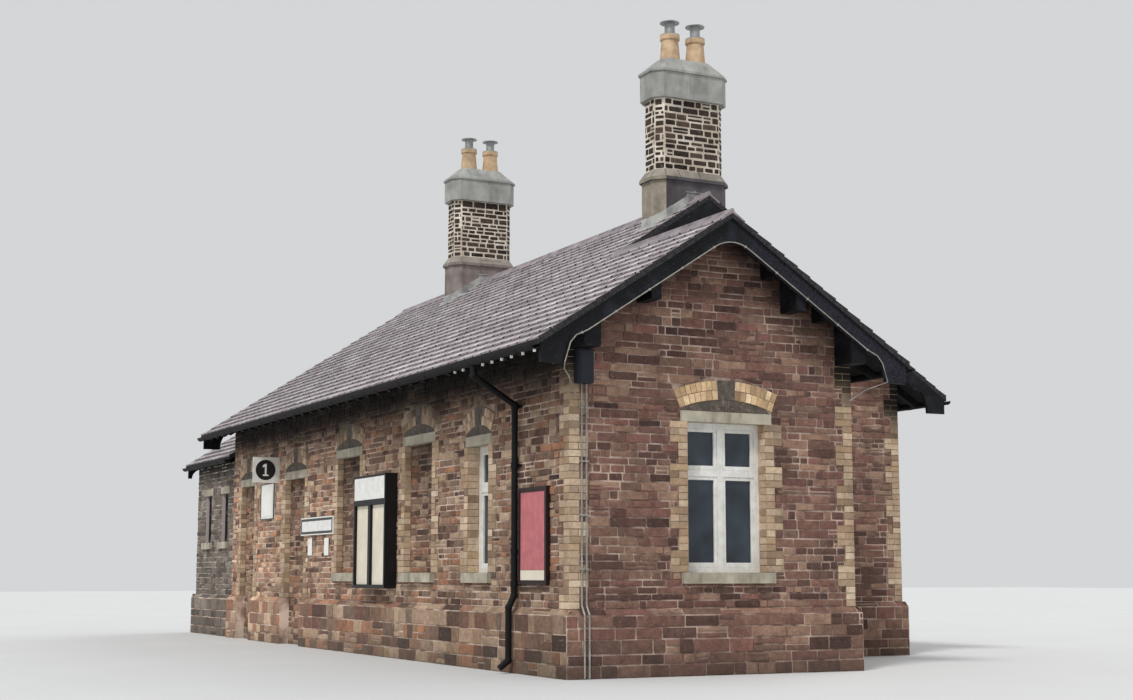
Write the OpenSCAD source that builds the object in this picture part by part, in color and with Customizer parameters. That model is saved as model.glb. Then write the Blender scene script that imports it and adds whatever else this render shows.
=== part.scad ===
// Country railway station building: one-storey stone block with a lower gabled section
// at its near end and a lower extension at its far end. Sizes are in millimetres.
// The platform side faces -Y, the near gable faces +X, and the ground is at z = 0.

/* [Plan] */
// Length of the main block over its two gable walls
main_len = 11000; // [10600:50:12000]
// Length of the lower near section, from the near gable to the main block
near_len = 2860; // [2850:10:3300]
// Length of the lower far extension
far_len = 2850; // [2750:50:3200]
// Depth of the main block over its two long walls
main_depth = 6750; // [6400:10:7200]
// Depth of the near section over its two long walls
near_depth = 3840; // [3600:10:4300]
// Depth of the far extension over its two long walls
far_depth = 3700; // [3500:10:4000]
// How far the extension's platform wall stands back from the main one
far_set_back = 60; // [40:5:100]
// Thickness of the stone walls
wall_t = 450; // [380:10:520]
// Thickness of the ground floor
floor_t = 150; // [100:10:200]

/* [Roof] */
// Pitch of all the slopes, in degrees
pitch = 33.1; // [31:0.1:36]
// Height of the slates' lower edge on the main block
eave_h = 3690; // [3600:10:3800]
// Height of the slates' lower edge on the extension
far_eave_h = 3310; // [3250:10:3360]
// How far the eaves stand out from the walls
eave_out = 590; // [540:10:620]
// How far the eaves of the extension stand out from its walls
far_eave_out = 170; // [150:5:200]
// How far the verges stand out from the gable walls
verge_out = 400; // [360:10:440]
// Thickness of slates and boarding, measured straight down
slate_t = 60; // [45:5:80]
// How far the slates run past the bargeboards
slate_past = 30; // [20:5:40]
// Depth of the bargeboards, measured square to the slope
barge_h = 180; // [150:5:210]
// Depth of a bargeboard's foot below the slates' lower edge
foot_drop = 250; // [200:10:280]
// Distance from the ridge over which the bargeboards' lower edges curve together
apex_run = 230; // [150:10:320]
// Share of the eaves' overhang that a bargeboard's foot leaves free beside the wall
foot_gap = 0.45; // [0.4:0.01:0.5]
// Run of the curve between a bargeboard's foot and its lower edge
foot_sweep = 230; // [190:10:260]
// Thickness of the bargeboards
barge_t = 45; // [30:5:60]
// Spacing of the rafter feet along the eaves
rafter_pitch = 420; // [380:10:600]
// Width of a rafter foot
rafter_w = 60; // [50:5:75]
// Depth of a rafter foot
rafter_h = 100; // [80:5:120]
// Width of a purlin end
purlin_w = 95; // [75:5:120]
// Depth of a purlin end
purlin_h = 170; // [130:10:200]
// Length of a ridge tile's wing down the slope
ridge_wing = 190; // [150:10:230]
// Thickness of a ridge tile
ridge_t = 22; // [16:1:30]
// Diameter of the roll along the ridge
ridge_roll = 34; // [28:2:44]
// Outer diameter of the half-round gutters
gutter_d = 118; // [100:2:140]
// Wall of the gutters
gutter_t = 6; // [4:1:10]

/* [Plinth and dressings] */
// Height of the plinth
plinth_h = 760; // [680:10:820]
// How far the plinth stands out
plinth_out = 70; // [50:5:90]
// Height of the plinth's chamfer
plinth_chamfer = 70; // [40:5:100]
// Height of one quoin, which is three brick courses
quoin_h = 228; // [200:2:250]
// Length of a long quoin
quoin_long = 235; // [210:5:260]
// Length of a short quoin
quoin_short = 125; // [100:5:150]
// Depth of the quoins in the wall
quoin_bed = 110; // [90:5:120]
// How far the dressings stand proud of the stone
dress_proud = 8; // [4:1:15]
// Height of the stone lintels
lintel_h = 125; // [110:5:150]
// How far a lintel runs past its opening on each side
lintel_end = 90; // [70:5:110]
// Height of the stone sills
sill_h = 125; // [100:5:150]
// How far the sills stand out from the wall
sill_out = 60; // [40:5:80]
// Depth of the brick arch rings
arch_ring = 230; // [210:5:240]
// Rise of an arch's outer edge over its span
arch_rise = 135; // [110:5:150]
// How far an arch's outer edge runs past its opening on each side
arch_end = 180; // [160:5:200]
// Width of a keystone at the outer edge of its arch
key_w = 250; // [200:10:270]

/* [Openings] */
// Height of the window heads
window_head = 2745; // [2700:5:2780]
// Height of the heads of the blocked windows
blind_head = 2905; // [2860:5:2930]
// Height of the near gable window's head
gable_head = 2905; // [2850:5:2940]
// Height of the window sills
window_sill = 1165; // [1100:5:1220]
// Height of the heads of the blocked doorways
door_head = 2710; // [2650:5:2740]
// Width of the near gable window
gable_window_w = 1070; // [980:10:1150]
// Width of the narrow glazed window beside the platform
slim_window_w = 640; // [560:10:650]
// Distance from the main block's near gable to the middle of that window
slim_window_in = 330; // [325:5:360]
// Width of the blocked windows
blind_window_w = 1000; // [900:10:1040]
// Distance from the near corner to the middle of the first blocked window
blind_a_at = 4570; // [4500:10:4590]
// Distance from the near corner to the middle of the second blocked window
blind_b_at = 7430; // [7410:5:7480]
// Width of the first blocked doorway
door_a_w = 1050; // [950:10:1100]
// Distance from the main block's far corner to the middle of the first blocked doorway
door_a_in = 3770; // [3710:10:3860]
// Width of the second blocked doorway
door_b_w = 830; // [780:10:880]
// Distance from the main block's far corner to the middle of the second blocked doorway
door_b_in = 980; // [940:10:1000]
// How far the gable window stands off the gable's middle, away from the platform
gable_window_off = 140; // [0:10:160]
// Distance from the main block to the middle of the extension's first window
far_window_a_at = 820; // [760:10:860]
// Distance from the main block to the middle of the extension's second window
far_window_b_at = 2010; // [1900:10:2060]
// How far blocked openings are set back
infill_back = 90; // [60:5:130]
// Thickness of the masonry that blocks an opening
infill_t = 230; // [200:5:260]
// How far window frames are set back from the wall's face
frame_back = 150; // [120:5:180]
// How far the extension's window frames are set back from the wall's face
far_frame_back = 60; // [50:5:80]
// Thickness of a window frame from front to back
frame_d = 70; // [55:5:90]
// Width of a window frame's outer members
frame_w = 62; // [50:2:80]
// Width of the mullion and transom
bar_w = 75; // [60:5:100]
// Thickness of the glass
glass_t = 6; // [4:1:8]
// Share of a window's height that its top lights take
top_light_share = 0.28; // [0.24:0.01:0.32]
// Width of the extension's slim windows
far_window_w = 420; // [380:10:460]
// Height of the extension's window sills
far_sill = 1750; // [1680:10:1800]
// Height of the extension's window heads
far_head = 2660; // [2560:5:2680]
// Width of the rear windows
rear_window_w = 1000; // [900:10:1100]
// Width of the rear door
rear_door_w = 960; // [880:10:1020]
// Height of the rear door's opening
rear_door_h = 2300; // [2200:10:2400]
// Thickness of the rear door
rear_door_t = 45; // [38:1:54]
// How far the rear door stands behind the face of its frame
rear_door_set = 10; // [6:1:14]
// Depth of the rear door's sunk panels
rear_panel_d = 12; // [8:1:16]

/* [Chimneys] */
// Length of a chimney base across the roof
stack_w = 1180; // [1120:10:1240]
// Thickness of a chimney base
stack_d = 580; // [540:10:640]
// Size of the chamfers on the base's corners
stack_cut = 140; // [115:5:150]
// Length of a chimney shaft across the roof
shaft_w = 1080; // [1020:10:1110]
// Thickness of a chimney shaft
shaft_d = 470; // [440:10:500]
// Size of the chamfers on the shaft's corners
shaft_cut = 100; // [80:5:120]
// Height of the base's top edge above the ridge
stack_rise = 265; // [220:5:320]
// How far the weathering oversails the base
stack_lip = 35; // [20:5:45]
// Height of the weathering between base and shaft
stack_slope = 160; // [130:5:190]
// Height of the shaft
shaft_h = 1010; // [900:10:1100]
// Height of the cap band
cap_h = 375; // [300:5:400]
// How far the cap band stands out from the shaft
cap_out = 60; // [45:5:80]
// How far the weathering on top oversails the cap band
cap_lip = 25; // [15:5:35]
// Height of the weathering on top of the cap
cap_slope = 235; // [190:5:260]
// Length of the cap's flat top
crown_w = 760; // [700:10:800]
// Thickness of the cap's flat top
crown_d = 330; // [300:10:360]
// Size of the chamfers on the cap's flat top
crown_cut = 80; // [60:5:100]
// Height of a chimney pot above the cap
pot_h = 370; // [320:10:420]
// Diameter of a chimney pot at its foot
pot_d = 290; // [260:5:320]
// Distance between the two pots
pot_gap = 415; // [390:5:450]
// Wall of a chimney pot
pot_t = 28; // [20:2:36]
// How far a pot narrows up to its lip
pot_taper = 25; // [15:1:35]
// How far a pot's lip stands out
pot_lip = 20; // [12:1:24]
// Height of a cowl's disc above its pot
cowl_h = 185; // [140:5:220]
// Thickness of a cowl's discs
cowl_t = 12; // [8:1:18]
// Distance from the main near gable's face to the near chimney
near_stack_in = 0; // [0:5:40]
// Distance from the near gable's face to the far chimney's near face
far_stack_at = 10060; // [9800:20:10300]

/* [Fittings] */
// Diameter of the downpipes
pipe_d = 76; // [65:1:90]
// Gap between a downpipe and its wall
pipe_off = 30; // [20:5:45]
// Distance from the near corner to the downpipe beside the platform
near_pipe_at = 1310; // [1290:5:1340]
// Width of the poster frame
poster_w = 760; // [680:10:780]
// Height of the poster frame
poster_h = 1120; // [1050:10:1180]
// Distance from the near corner to the middle of the poster frame
poster_at = 850; // [840:5:860]
// Height of the poster frame's lower edge
poster_foot = 1025; // [980:5:1060]
// Depth of the poster frame
poster_d = 60; // [40:1:70]
// Width of the poster frame's rim
poster_rim = 40; // [30:2:55]
// Length of the notice board
board_w = 1300; // [1200:10:1320]
// Height of the notice board
board_h = 1600; // [1500:10:1700]
// Distance from the near corner to the middle of the notice board
board_at = 6000; // [5990:2:6010]
// Height of the notice board's lower edge
board_foot = 950; // [900:10:1000]
// Depth of the notice board's case
board_d = 190; // [150:5:220]
// Height of the notice board's header
board_head = 380; // [320:10:420]
// Width of the notice board's rims
board_rim = 45; // [30:5:60]
// Side of the square number plate that stands out from the wall
plate_w = 430; // [380:10:480]
// Distance from the main block's far corner to the number plate
plate_in = 2860; // [2760:10:2910]
// Height of the number plate's lower edge
plate_foot = 2680; // [2620:10:2720]
// Thickness of the plates and signs
plate_t = 22; // [12:1:30]
// Gap between the number plate and the wall
plate_off = 40; // [20:5:80]
// Length of the sign between the notice board and the first blocked doorway
sign_w = 1600; // [1500:10:1650]
// Height of that sign
sign_h = 280; // [240:10:320]
// Distance from the main block's far corner to the middle of that sign
sign_in = 4990; // [4960:10:5010]
// Height of that sign's lower edge
sign_foot = 1760; // [1700:10:1800]
// Width of the poster board between the two blocked doorways
sheet_w = 800; // [700:10:860]
// Height of that poster board
sheet_h = 620; // [560:10:680]
// Distance from the main block's far corner to the middle of that poster board
sheet_in = 2240; // [2180:10:2280]
// Height of that poster board's lower edge
sheet_foot = 2080; // [2020:10:2130]
// Width of the service box on the near gable
box_w = 185; // [160:5:220]
// Height of the service box
box_h = 385; // [340:5:420]
// Depth of the service box
box_d = 130; // [100:5:160]
// Distance from the platform wall's face to the service box
box_in = 55; // [45:5:80]
// Height of the service box's lower edge
box_foot = 3270; // [3220:5:3300]

/* [Hidden] */

// Clearance at sloping seats and round inserts
fit = 0.3;
// How far a cutter runs past the faces that it cuts
past = 5;
// Height of the stone between a lintel and the ends of the arch above it
arch_gap = 25;
// How far the slates' edge and the rafter feet stop short of the eaves' full reach
eave_set = 40;
// Height of the gutters' rims above the underside of the slates' edge
gutter_lift = 6;
grade = tan(pitch);

// Places along the building
x_near = (near_len + main_len + far_len) / 2;
x_main_a = x_near - near_len;
x_main_b = x_main_a - main_len;
x_far = x_main_b - far_len;
verge_near = x_near + verge_out;
verge_main_a = x_main_a + verge_out;
verge_main_b = x_main_b - verge_out / 2;
verge_far = x_far - verge_out;

// Places across the building
y_front = -main_depth / 2;
y_back = main_depth / 2;
y_near_back = y_front + near_depth;
y_near_ridge = y_front + near_depth / 2;
y_far_front = y_front + far_set_back;
y_far_back = y_far_front + far_depth;
y_far_ridge = y_far_front + far_depth / 2;

// Heights of the roof
plate_h = eave_h + eave_out * grade;
far_plate_h = far_eave_h + far_eave_out * grade;
main_ridge_h = plate_h + main_depth / 2 * grade;
near_ridge_h = plate_h + near_depth / 2 * grade;
far_ridge_h = far_plate_h + far_depth / 2 * grade;
wall_top = plate_h - slate_t - fit;
far_wall_top = far_plate_h - slate_t - fit;
// The corner quoins stop under the rafter feet
quoin_top = wall_top - rafter_h / cos(pitch) - fit;

// Lowest line of the main block's gutters
gutter_foot = eave_h - slate_t + gutter_lift - gutter_d / 2 - fit;

// Heights of the chimneys
stack_top = main_ridge_h + stack_rise;
shaft_foot = stack_top + stack_slope;
shaft_top = shaft_foot + shaft_h;
cap_top = shaft_top + cap_h;
cap_crown = cap_top + cap_slope;
pot_top = cap_crown + pot_h;
stack_seat = main_ridge_h - stack_w * 0.76;
near_stack_x = x_main_a - near_stack_in - stack_d;
far_stack_x = x_near - far_stack_at - stack_d;

// Openings of the platform wall: middle, width, sill and head
function along(at) = x_near - at;
slim_window = [x_main_a + slim_window_in, slim_window_w, window_sill, window_head];
blind_windows = [for (at = [blind_a_at, blind_b_at])
                 [along(at), blind_window_w, window_sill, blind_head]];
blocked_doors = [[x_main_b + door_a_in, door_a_w, 0, door_head],
                 [x_main_b + door_b_in, door_b_w, 0, door_head]];
front_openings = concat([slim_window], blind_windows, blocked_doors);

// Openings of the other walls
far_windows = [for (at = [far_window_a_at, far_window_b_at])
               [x_main_b - at, far_window_w, far_sill, far_head]];
rear_windows = [for (share = [0.2, 0.8])
                [x_main_a - main_len * share, rear_window_w, window_sill, window_head]];
rear_doorway = [x_main_a - main_len / 2, rear_door_w, floor_t, rear_door_h + floor_t];
near_rear_window = [x_near - near_len / 2, slim_window_w, window_sill, window_head];
gable_window = [y_near_ridge + gable_window_off, gable_window_w, window_sill, gable_head];

// Colours as the building shows them
stone_color = [0.47, 0.38, 0.32];
gable_color = [0.44, 0.34, 0.32];
far_color = [0.50, 0.46, 0.42];
brick_color = [0.78, 0.67, 0.45];
lintel_color = [0.66, 0.62, 0.56];
slate_color = [0.56, 0.52, 0.54];
wood_color = [0.13, 0.14, 0.17];
white_color = [0.88, 0.87, 0.83];
iron_color = [0.10, 0.10, 0.11];
stack_color = [0.46, 0.43, 0.40];
cap_color = [0.58, 0.59, 0.56];
pot_color = [0.76, 0.66, 0.50];

// Runs a profile drawn in (y, z) along X
module along_x(x0, x1) {
    translate([x0, 0, 0]) rotate([90, 0, 90]) linear_extrude(x1 - x0) children();
}

// Runs a profile drawn in (x, z) along Y
module along_y(y0, y1) {
    translate([0, y1, 0]) rotate([90, 0, 0]) linear_extrude(y1 - y0) children();
}

module block(low, high) {
    translate(low) cube(high - low);
}

// Cutter for an opening of a long wall, whose face is at y
module hole_in_long_wall(o, y0, y1) {
    block([o[0] - o[1] / 2, y0 - past, o[2]], [o[0] + o[1] / 2, y1 + past, o[3]]);
}

// Outline of a gable wall under the roof
module gable_outline(y0, y1, top, ridge_y) {
    rise = (y1 - y0) / 2 * grade;
    polygon([[y0, 0], [y1, 0], [y1, top], [ridge_y, top + rise], [y0, top]]);
}

// Zigzag edge of dressings that climbs from z0 to z1, drawn from 0 towards +x
module quoin_profile(z0, z1, first_long = true) {
    count = max(1, floor((z1 - z0) / quoin_h));
    step = (z1 - z0) / count;
    for (i = [0 : count - 1]) {
        long = (i % 2 == 0) == first_long;
        reach = long ? quoin_long : quoin_short;
        translate([0, z0 + i * step]) square([reach, step]);
    }
}

// Dressings of both jambs of an opening in a wall whose face is y = 0
module jamb_quoins(o, proud) {
    for (side = [-1, 1])
        translate([o[0] + side * o[1] / 2, 0, 0]) mirror([side < 0 ? 1 : 0, 0, 0])
            along_y(-proud, quoin_bed) quoin_profile(max(o[2], plinth_h), o[3]);
}

// Ring of a relieving arch over an opening, drawn round its centre
function arch_half(o) = o[1] / 2 + arch_end;
function arch_radius(o) = (arch_half(o) ^ 2 + arch_rise ^ 2) / (2 * arch_rise);
function arch_angle(o) = asin(arch_half(o) / arch_radius(o));
function arch_centre(o) = o[3] + lintel_h + arch_gap - (arch_radius(o) - arch_ring) * cos(arch_angle(o));

function key_angle(o) = asin(key_w / 2 / arch_radius(o));

// The part of an opening's arch ring between two angles from the crown
module arch_part(o, from, to, proud) {
    reach = arch_radius(o) * 2;
    translate([o[0], 0, arch_centre(o)]) along_y(-proud, quoin_bed) intersection() {
        difference() {
            circle(r = arch_radius(o), $fn = 240);
            circle(r = arch_radius(o) - arch_ring, $fn = 240);
        }
        polygon([[0, 0], [reach * sin(from), reach * cos(from)], [reach * sin(to), reach * cos(to)]]);
    }
}

module arch_pocket(o, proud) {
    arch_part(o, -arch_angle(o), arch_angle(o), proud);
}

module arch_halves(o) {
    arch_part(o, -arch_angle(o), -key_angle(o), dress_proud);
    arch_part(o, key_angle(o), arch_angle(o), dress_proud);
}

module arch_key(o) {
    arch_part(o, -key_angle(o), key_angle(o), dress_proud);
}

module lintel_solid(o, proud) {
    block([o[0] - o[1] / 2 - lintel_end, -proud, o[3]],
          [o[0] + o[1] / 2 + lintel_end, wall_t, o[3] + lintel_h]);
}

module sill_solid(o, out) {
    block([o[0] - o[1] / 2 - lintel_end, -out, o[2] - sill_h],
          [o[0] + o[1] / 2 + lintel_end, frame_back + frame_d, o[2]]);
}

// The near gable's dressings are drawn as if the wall faced -Y and then turned
module on_near_gable() {
    translate([x_near, 0, 0]) rotate([0, 0, 90]) children();
}
module on_front() {
    translate([0, y_front, 0]) children();
}
module on_far_front() {
    translate([0, y_far_front, 0]) children();
}
// A rear wall faces +Y, so what sits on it is turned round
module on_rear(y) {
    translate([0, y, 0]) mirror([0, 1, 0]) children();
}

sill_front = concat([slim_window], blind_windows);

// Everything that is let into the platform wall
module front_dressings(proud) {
    on_front() {
        for (o = front_openings) {
            jamb_quoins(o, proud);
            lintel_solid(o, proud);
            arch_pocket(o, proud);
        }
        for (o = sill_front) sill_solid(o, 0);
    }
}

// Corner quoins climb both faces of the near corner, long on one as they are short on the other
module corner_stack(proud) {
    count = floor((quoin_top - plinth_h) / quoin_h);
    step = (quoin_top - plinth_h) / count;
    for (i = [0 : count - 1]) {
        long = i % 2 == 0;
        on_x = long ? quoin_long : quoin_short;
        on_y = long ? quoin_short : quoin_long;
        translate([0, 0, plinth_h + i * step])
            linear_extrude(step)
                polygon([[proud, -proud], [proud, on_y], [-quoin_bed, on_y],
                         [-quoin_bed, quoin_bed], [-on_x, quoin_bed], [-on_x, -proud]]);
    }
}
module near_front_corner(proud) {
    translate([x_near, y_front, 0]) corner_stack(proud);
}
module near_back_corner(proud) {
    translate([x_near, y_near_back, 0]) mirror([0, 1, 0]) corner_stack(proud);
}
module main_back_corner(proud) {
    translate([x_main_a, y_back, 0]) mirror([0, 1, 0]) corner_stack(proud);
}
module far_back_corner(proud) {
    translate([x_main_b, y_back, 0]) mirror([0, 1, 0]) mirror([1, 0, 0]) corner_stack(proud);
}

module floor_slab() {
    color(cap_color) {
        block([x_main_b + wall_t, y_front + wall_t, 0], [x_main_a - wall_t, y_back - wall_t, floor_t]);
        block([x_main_a, y_front + wall_t, 0], [x_near - wall_t, y_near_back - wall_t, floor_t]);
        block([x_far + wall_t, y_far_front + wall_t, 0], [x_main_b, y_far_back - wall_t, floor_t]);
    }
}

module platform_wall() {
    color(stone_color) difference() {
        block([x_main_b + wall_t, y_front, 0], [x_near - wall_t, y_front + wall_t, wall_top]);
        for (o = front_openings) hole_in_long_wall(o, y_front, y_front + wall_t);
        front_dressings(past);
    }
}

module near_gable_wall() {
    color(gable_color) difference() {
        along_x(x_near - wall_t, x_near)
            gable_outline(y_front, y_near_back, wall_top, y_near_ridge);
        block([x_near - wall_t - past, gable_window[0] - gable_window[1] / 2, gable_window[2]],
              [x_near + past, gable_window[0] + gable_window[1] / 2, gable_window[3]]);
        gable_dressings(past);
        near_front_corner(past);
        near_back_corner(past);
    }
}

module gable_dressings(proud) {
    on_near_gable() {
        jamb_quoins(gable_window, proud);
        lintel_solid(gable_window, proud);
        sill_solid(gable_window, 0);
        arch_pocket(gable_window, proud);
    }
}

module near_rear_wall() {
    color(stone_color) difference() {
        block([x_main_a, y_near_back - wall_t, 0], [x_near - wall_t, y_near_back, wall_top]);
        hole_in_long_wall(near_rear_window, y_near_back - wall_t, y_near_back);
        on_rear(y_near_back) plain_dressings([near_rear_window], past);
    }
}

// Lintels and sills of plain windows
module plain_dressings(openings, proud) {
    for (o = openings) {
        lintel_solid(o, proud);
        sill_solid(o, 0);
    }
}

module main_near_gable_wall() {
    color(gable_color) difference() {
        along_x(x_main_a - wall_t, x_main_a)
            gable_outline(y_front, y_back, wall_top, 0);
        block([x_main_a - wall_t - past, y_front - past, -past],
              [x_main_a + past, y_front + wall_t, main_ridge_h]);
        block([near_stack_x, -stack_w / 2 - fit, stack_seat],
              [x_main_a - near_stack_in + fit, stack_w / 2 + fit, main_ridge_h]);
        main_back_corner(past);
    }
}

module main_far_gable_wall() {
    color(stone_color) difference() {
        along_x(x_main_b, x_main_b + wall_t) gable_outline(y_front, y_back, wall_top, 0);
        front_dressings(past);
        far_back_corner(past);
    }
}

module main_rear_wall() {
    color(stone_color) difference() {
        block([x_main_b + wall_t, y_back - wall_t, 0], [x_main_a - wall_t, y_back, wall_top]);
        for (o = rear_windows) hole_in_long_wall(o, y_back - wall_t, y_back);
        hole_in_long_wall([rear_doorway[0], rear_doorway[1], -past, rear_doorway[3]],
                          y_back - wall_t, y_back);
        on_rear(y_back) {
            plain_dressings(rear_windows, past);
            lintel_solid(rear_doorway, past);
        }
    }
}

module far_platform_wall() {
    color(far_color) difference() {
        block([x_far + wall_t, y_far_front, 0], [x_main_b, y_far_front + wall_t, far_wall_top]);
        for (o = far_windows) hole_in_long_wall(o, y_far_front, y_far_front + wall_t);
        on_far_front() plain_dressings(far_windows, past);
    }
}

module far_end_wall() {
    color(far_color) along_x(x_far, x_far + wall_t)
        gable_outline(y_far_front, y_far_back, far_wall_top, y_far_ridge);
}

module far_rear_wall() {
    color(far_color)
        block([x_far + wall_t, y_far_back - wall_t, 0], [x_main_b, y_far_back, far_wall_top]);
}

// A block whose top edges are chamfered on all four sides
module chamfered_block(x0, x1, y0, y1) {
    intersection() {
        along_x(x0, x1) plinth_section(y0, y1);
        along_y(y0, y1) plinth_section(x0, x1);
    }
}
module plinth_section(a, b) {
    polygon([[a, 0], [b, 0], [b, plinth_h - plinth_chamfer], [b - plinth_out, plinth_h],
             [a + plinth_out, plinth_h], [a, plinth_h - plinth_chamfer]]);
}

// The plinth round the whole building, without the walls that it stands against
module plinth_ring() {
    difference() {
        union() {
            chamfered_block(x_main_b - plinth_out, x_main_a + plinth_out,
                            y_front - plinth_out, y_back + plinth_out);
            chamfered_block(x_main_a - wall_t, x_near + plinth_out,
                            y_front - plinth_out, y_near_back + plinth_out);
            chamfered_block(x_far - plinth_out, x_main_b + wall_t,
                            y_far_front - plinth_out, y_far_back + plinth_out);
        }
        block([x_main_b, y_front, -past], [x_main_a, y_back, plinth_h + past]);
        block([x_main_a - past, y_front, -past], [x_near, y_near_back, plinth_h + past]);
        block([x_far, y_far_front, -past], [x_main_b + past, y_far_back, plinth_h + past]);
    }
}

module platform_plinth() {
    color(stone_color) difference() {
        intersection() {
            plinth_ring();
            block([x_far - wall_t, y_front - wall_t, -past],
                  [x_near + wall_t, y_far_front, plinth_h + past]);
        }
        block([x_near, y_front, -past], [x_near + wall_t, y_back, plinth_h + past]);
        for (o = blocked_doors)
            hole_in_long_wall([o[0], o[1], -past, plinth_h + past],
                              y_front - wall_t, y_front);
    }
}

module near_gable_plinth() {
    color(gable_color) intersection() {
        plinth_ring();
        block([x_near, y_front, -past], [x_near + wall_t, y_near_back, plinth_h + past]);
    }
}

// The stretch of plinth between two corners in plan
module plinth_run(low, high) {
    intersection() {
        plinth_ring();
        block([low[0], low[1], -past], [high[0], high[1], plinth_h + past]);
    }
}

module rear_plinth() {
    out = plinth_out + fit;
    color(stone_color) {
        difference() {
            plinth_run([x_main_b - out, y_back], [x_main_a + out, y_back + out]);
            hole_in_long_wall([rear_doorway[0], rear_doorway[1], -past, plinth_h + past],
                              y_back, y_back + wall_t);
        }
        plinth_run([x_main_a, y_near_back + out], [x_main_a + out, y_back - fit]);
        plinth_run([x_main_a, y_near_back], [x_near + out, y_near_back + out - fit]);
        plinth_run([x_main_b - out, y_far_back + out], [x_main_b, y_back - fit]);
        plinth_run([x_far - out, y_far_back], [x_main_b, y_far_back + out - fit]);
        plinth_run([x_far - out, y_far_front], [x_far, y_far_back - fit]);
    }
}

module infill(o) {
    block([o[0] - o[1] / 2, y_front + infill_back, o[2]],
          [o[0] + o[1] / 2, y_front + infill_back + infill_t, o[3]]);
}

module blocked_windows() {
    color(stone_color) difference() {
        for (o = blind_windows) infill(o);
        front_dressings(0);
    }
}

module blocked_doorways() {
    color(stone_color) for (o = blocked_doors) infill(o);
}

module corner_quoins() {
    color(brick_color) {
        near_front_corner(dress_proud);
        near_back_corner(dress_proud);
        main_back_corner(dress_proud);
        far_back_corner(dress_proud);
    }
}

module opening_quoins() {
    color(brick_color) {
        on_front() for (o = front_openings) jamb_quoins(o, dress_proud);
        on_near_gable() jamb_quoins(gable_window, dress_proud);
    }
}

module brick_arches() {
    color(brick_color) {
        on_front() for (o = front_openings) arch_halves(o);
        on_near_gable() arch_halves(gable_window);
    }
}

module arch_keystones() {
    color(lintel_color) {
        on_front() for (o = front_openings) arch_key(o);
        on_near_gable() arch_key(gable_window);
    }
}

module lintels() {
    color(lintel_color) {
        on_front() for (o = front_openings) lintel_solid(o, dress_proud);
        on_far_front() for (o = far_windows) lintel_solid(o, dress_proud);
        on_near_gable() lintel_solid(gable_window, dress_proud);
        on_rear(y_near_back) lintel_solid(near_rear_window, dress_proud);
        on_rear(y_back) for (o = concat(rear_windows, [rear_doorway])) lintel_solid(o, dress_proud);
    }
}

module sills() {
    color(lintel_color) {
        on_front() for (o = sill_front) sill_solid(o, sill_out);
        on_far_front() for (o = far_windows) sill_solid(o, sill_out);
        on_near_gable() sill_solid(gable_window, sill_out);
        on_rear(y_near_back) sill_solid(near_rear_window, sill_out);
        on_rear(y_back) for (o = rear_windows) sill_solid(o, sill_out);
    }
}

// A window frame: lights counts the lights side by side, under a transom
module window_frame(o, lights, back = frame_back) {
    light_w = (o[1] - 2 * frame_w - (lights - 1) * bar_w) / lights;
    top_z = o[3] - frame_w - top_light_share * (o[3] - o[2]);
    difference() {
        block([o[0] - o[1] / 2, back, o[2]], [o[0] + o[1] / 2, back + frame_d, o[3]]);
        for (i = [0 : lights - 1]) {
            x0 = o[0] - o[1] / 2 + frame_w + i * (light_w + bar_w);
            block([x0, back - past, o[2] + frame_w],
                  [x0 + light_w, back + frame_d + past, top_z - bar_w]);
            block([x0, back - past, top_z],
                  [x0 + light_w, back + frame_d + past, o[3] - frame_w]);
        }
    }
}

// The sheets of glass that fill a window frame's lights
module window_panes(o, lights, back = frame_back) {
    light_w = (o[1] - 2 * frame_w - (lights - 1) * bar_w) / lights;
    top_z = o[3] - frame_w - top_light_share * (o[3] - o[2]);
    glass_y = back + frame_d / 2;
    for (i = [0 : lights - 1]) {
        x0 = o[0] - o[1] / 2 + frame_w + i * (light_w + bar_w);
        block([x0, glass_y, o[2] + frame_w], [x0 + light_w, glass_y + glass_t, top_z - bar_w]);
        block([x0, glass_y, top_z], [x0 + light_w, glass_y + glass_t, o[3] - frame_w]);
    }
}

module gable_window_frame() {
    color(white_color) on_near_gable() window_frame(gable_window, 2);
}

module platform_window_frame() {
    color(white_color) on_front() window_frame(slim_window, 1);
}

module far_window_frames() {
    color(white_color) on_far_front() for (o = far_windows) window_frame(o, 1, far_frame_back);
}

module rear_window_frames() {
    color(white_color) {
        on_rear(y_back) for (o = rear_windows) window_frame(o, 2);
        on_rear(y_near_back) window_frame(near_rear_window, 1);
    }
}

module window_glass() {
    color([0.25, 0.3, 0.33, 0.5]) {
        on_near_gable() window_panes(gable_window, 2);
        on_front() window_panes(slim_window, 1);
        on_far_front() for (o = far_windows) window_panes(o, 1, far_frame_back);
        on_rear(y_back) for (o = rear_windows) window_panes(o, 2);
        on_rear(y_near_back) window_panes(near_rear_window, 1);
    }
}

module rear_door_frame() {
    o = rear_doorway;
    color(white_color) on_rear(y_back) {
        difference() {
            block([o[0] - o[1] / 2, frame_back, o[2]], [o[0] + o[1] / 2, frame_back + frame_d, o[3]]);
            block([o[0] - o[1] / 2 + frame_w, frame_back - past, o[2] - past],
                  [o[0] + o[1] / 2 - frame_w, frame_back + frame_d + past, o[3] - frame_w]);
        }
        block([o[0] - o[1] / 2, 0, 0], [o[0] + o[1] / 2, wall_t, floor_t]);
    }
}

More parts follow.
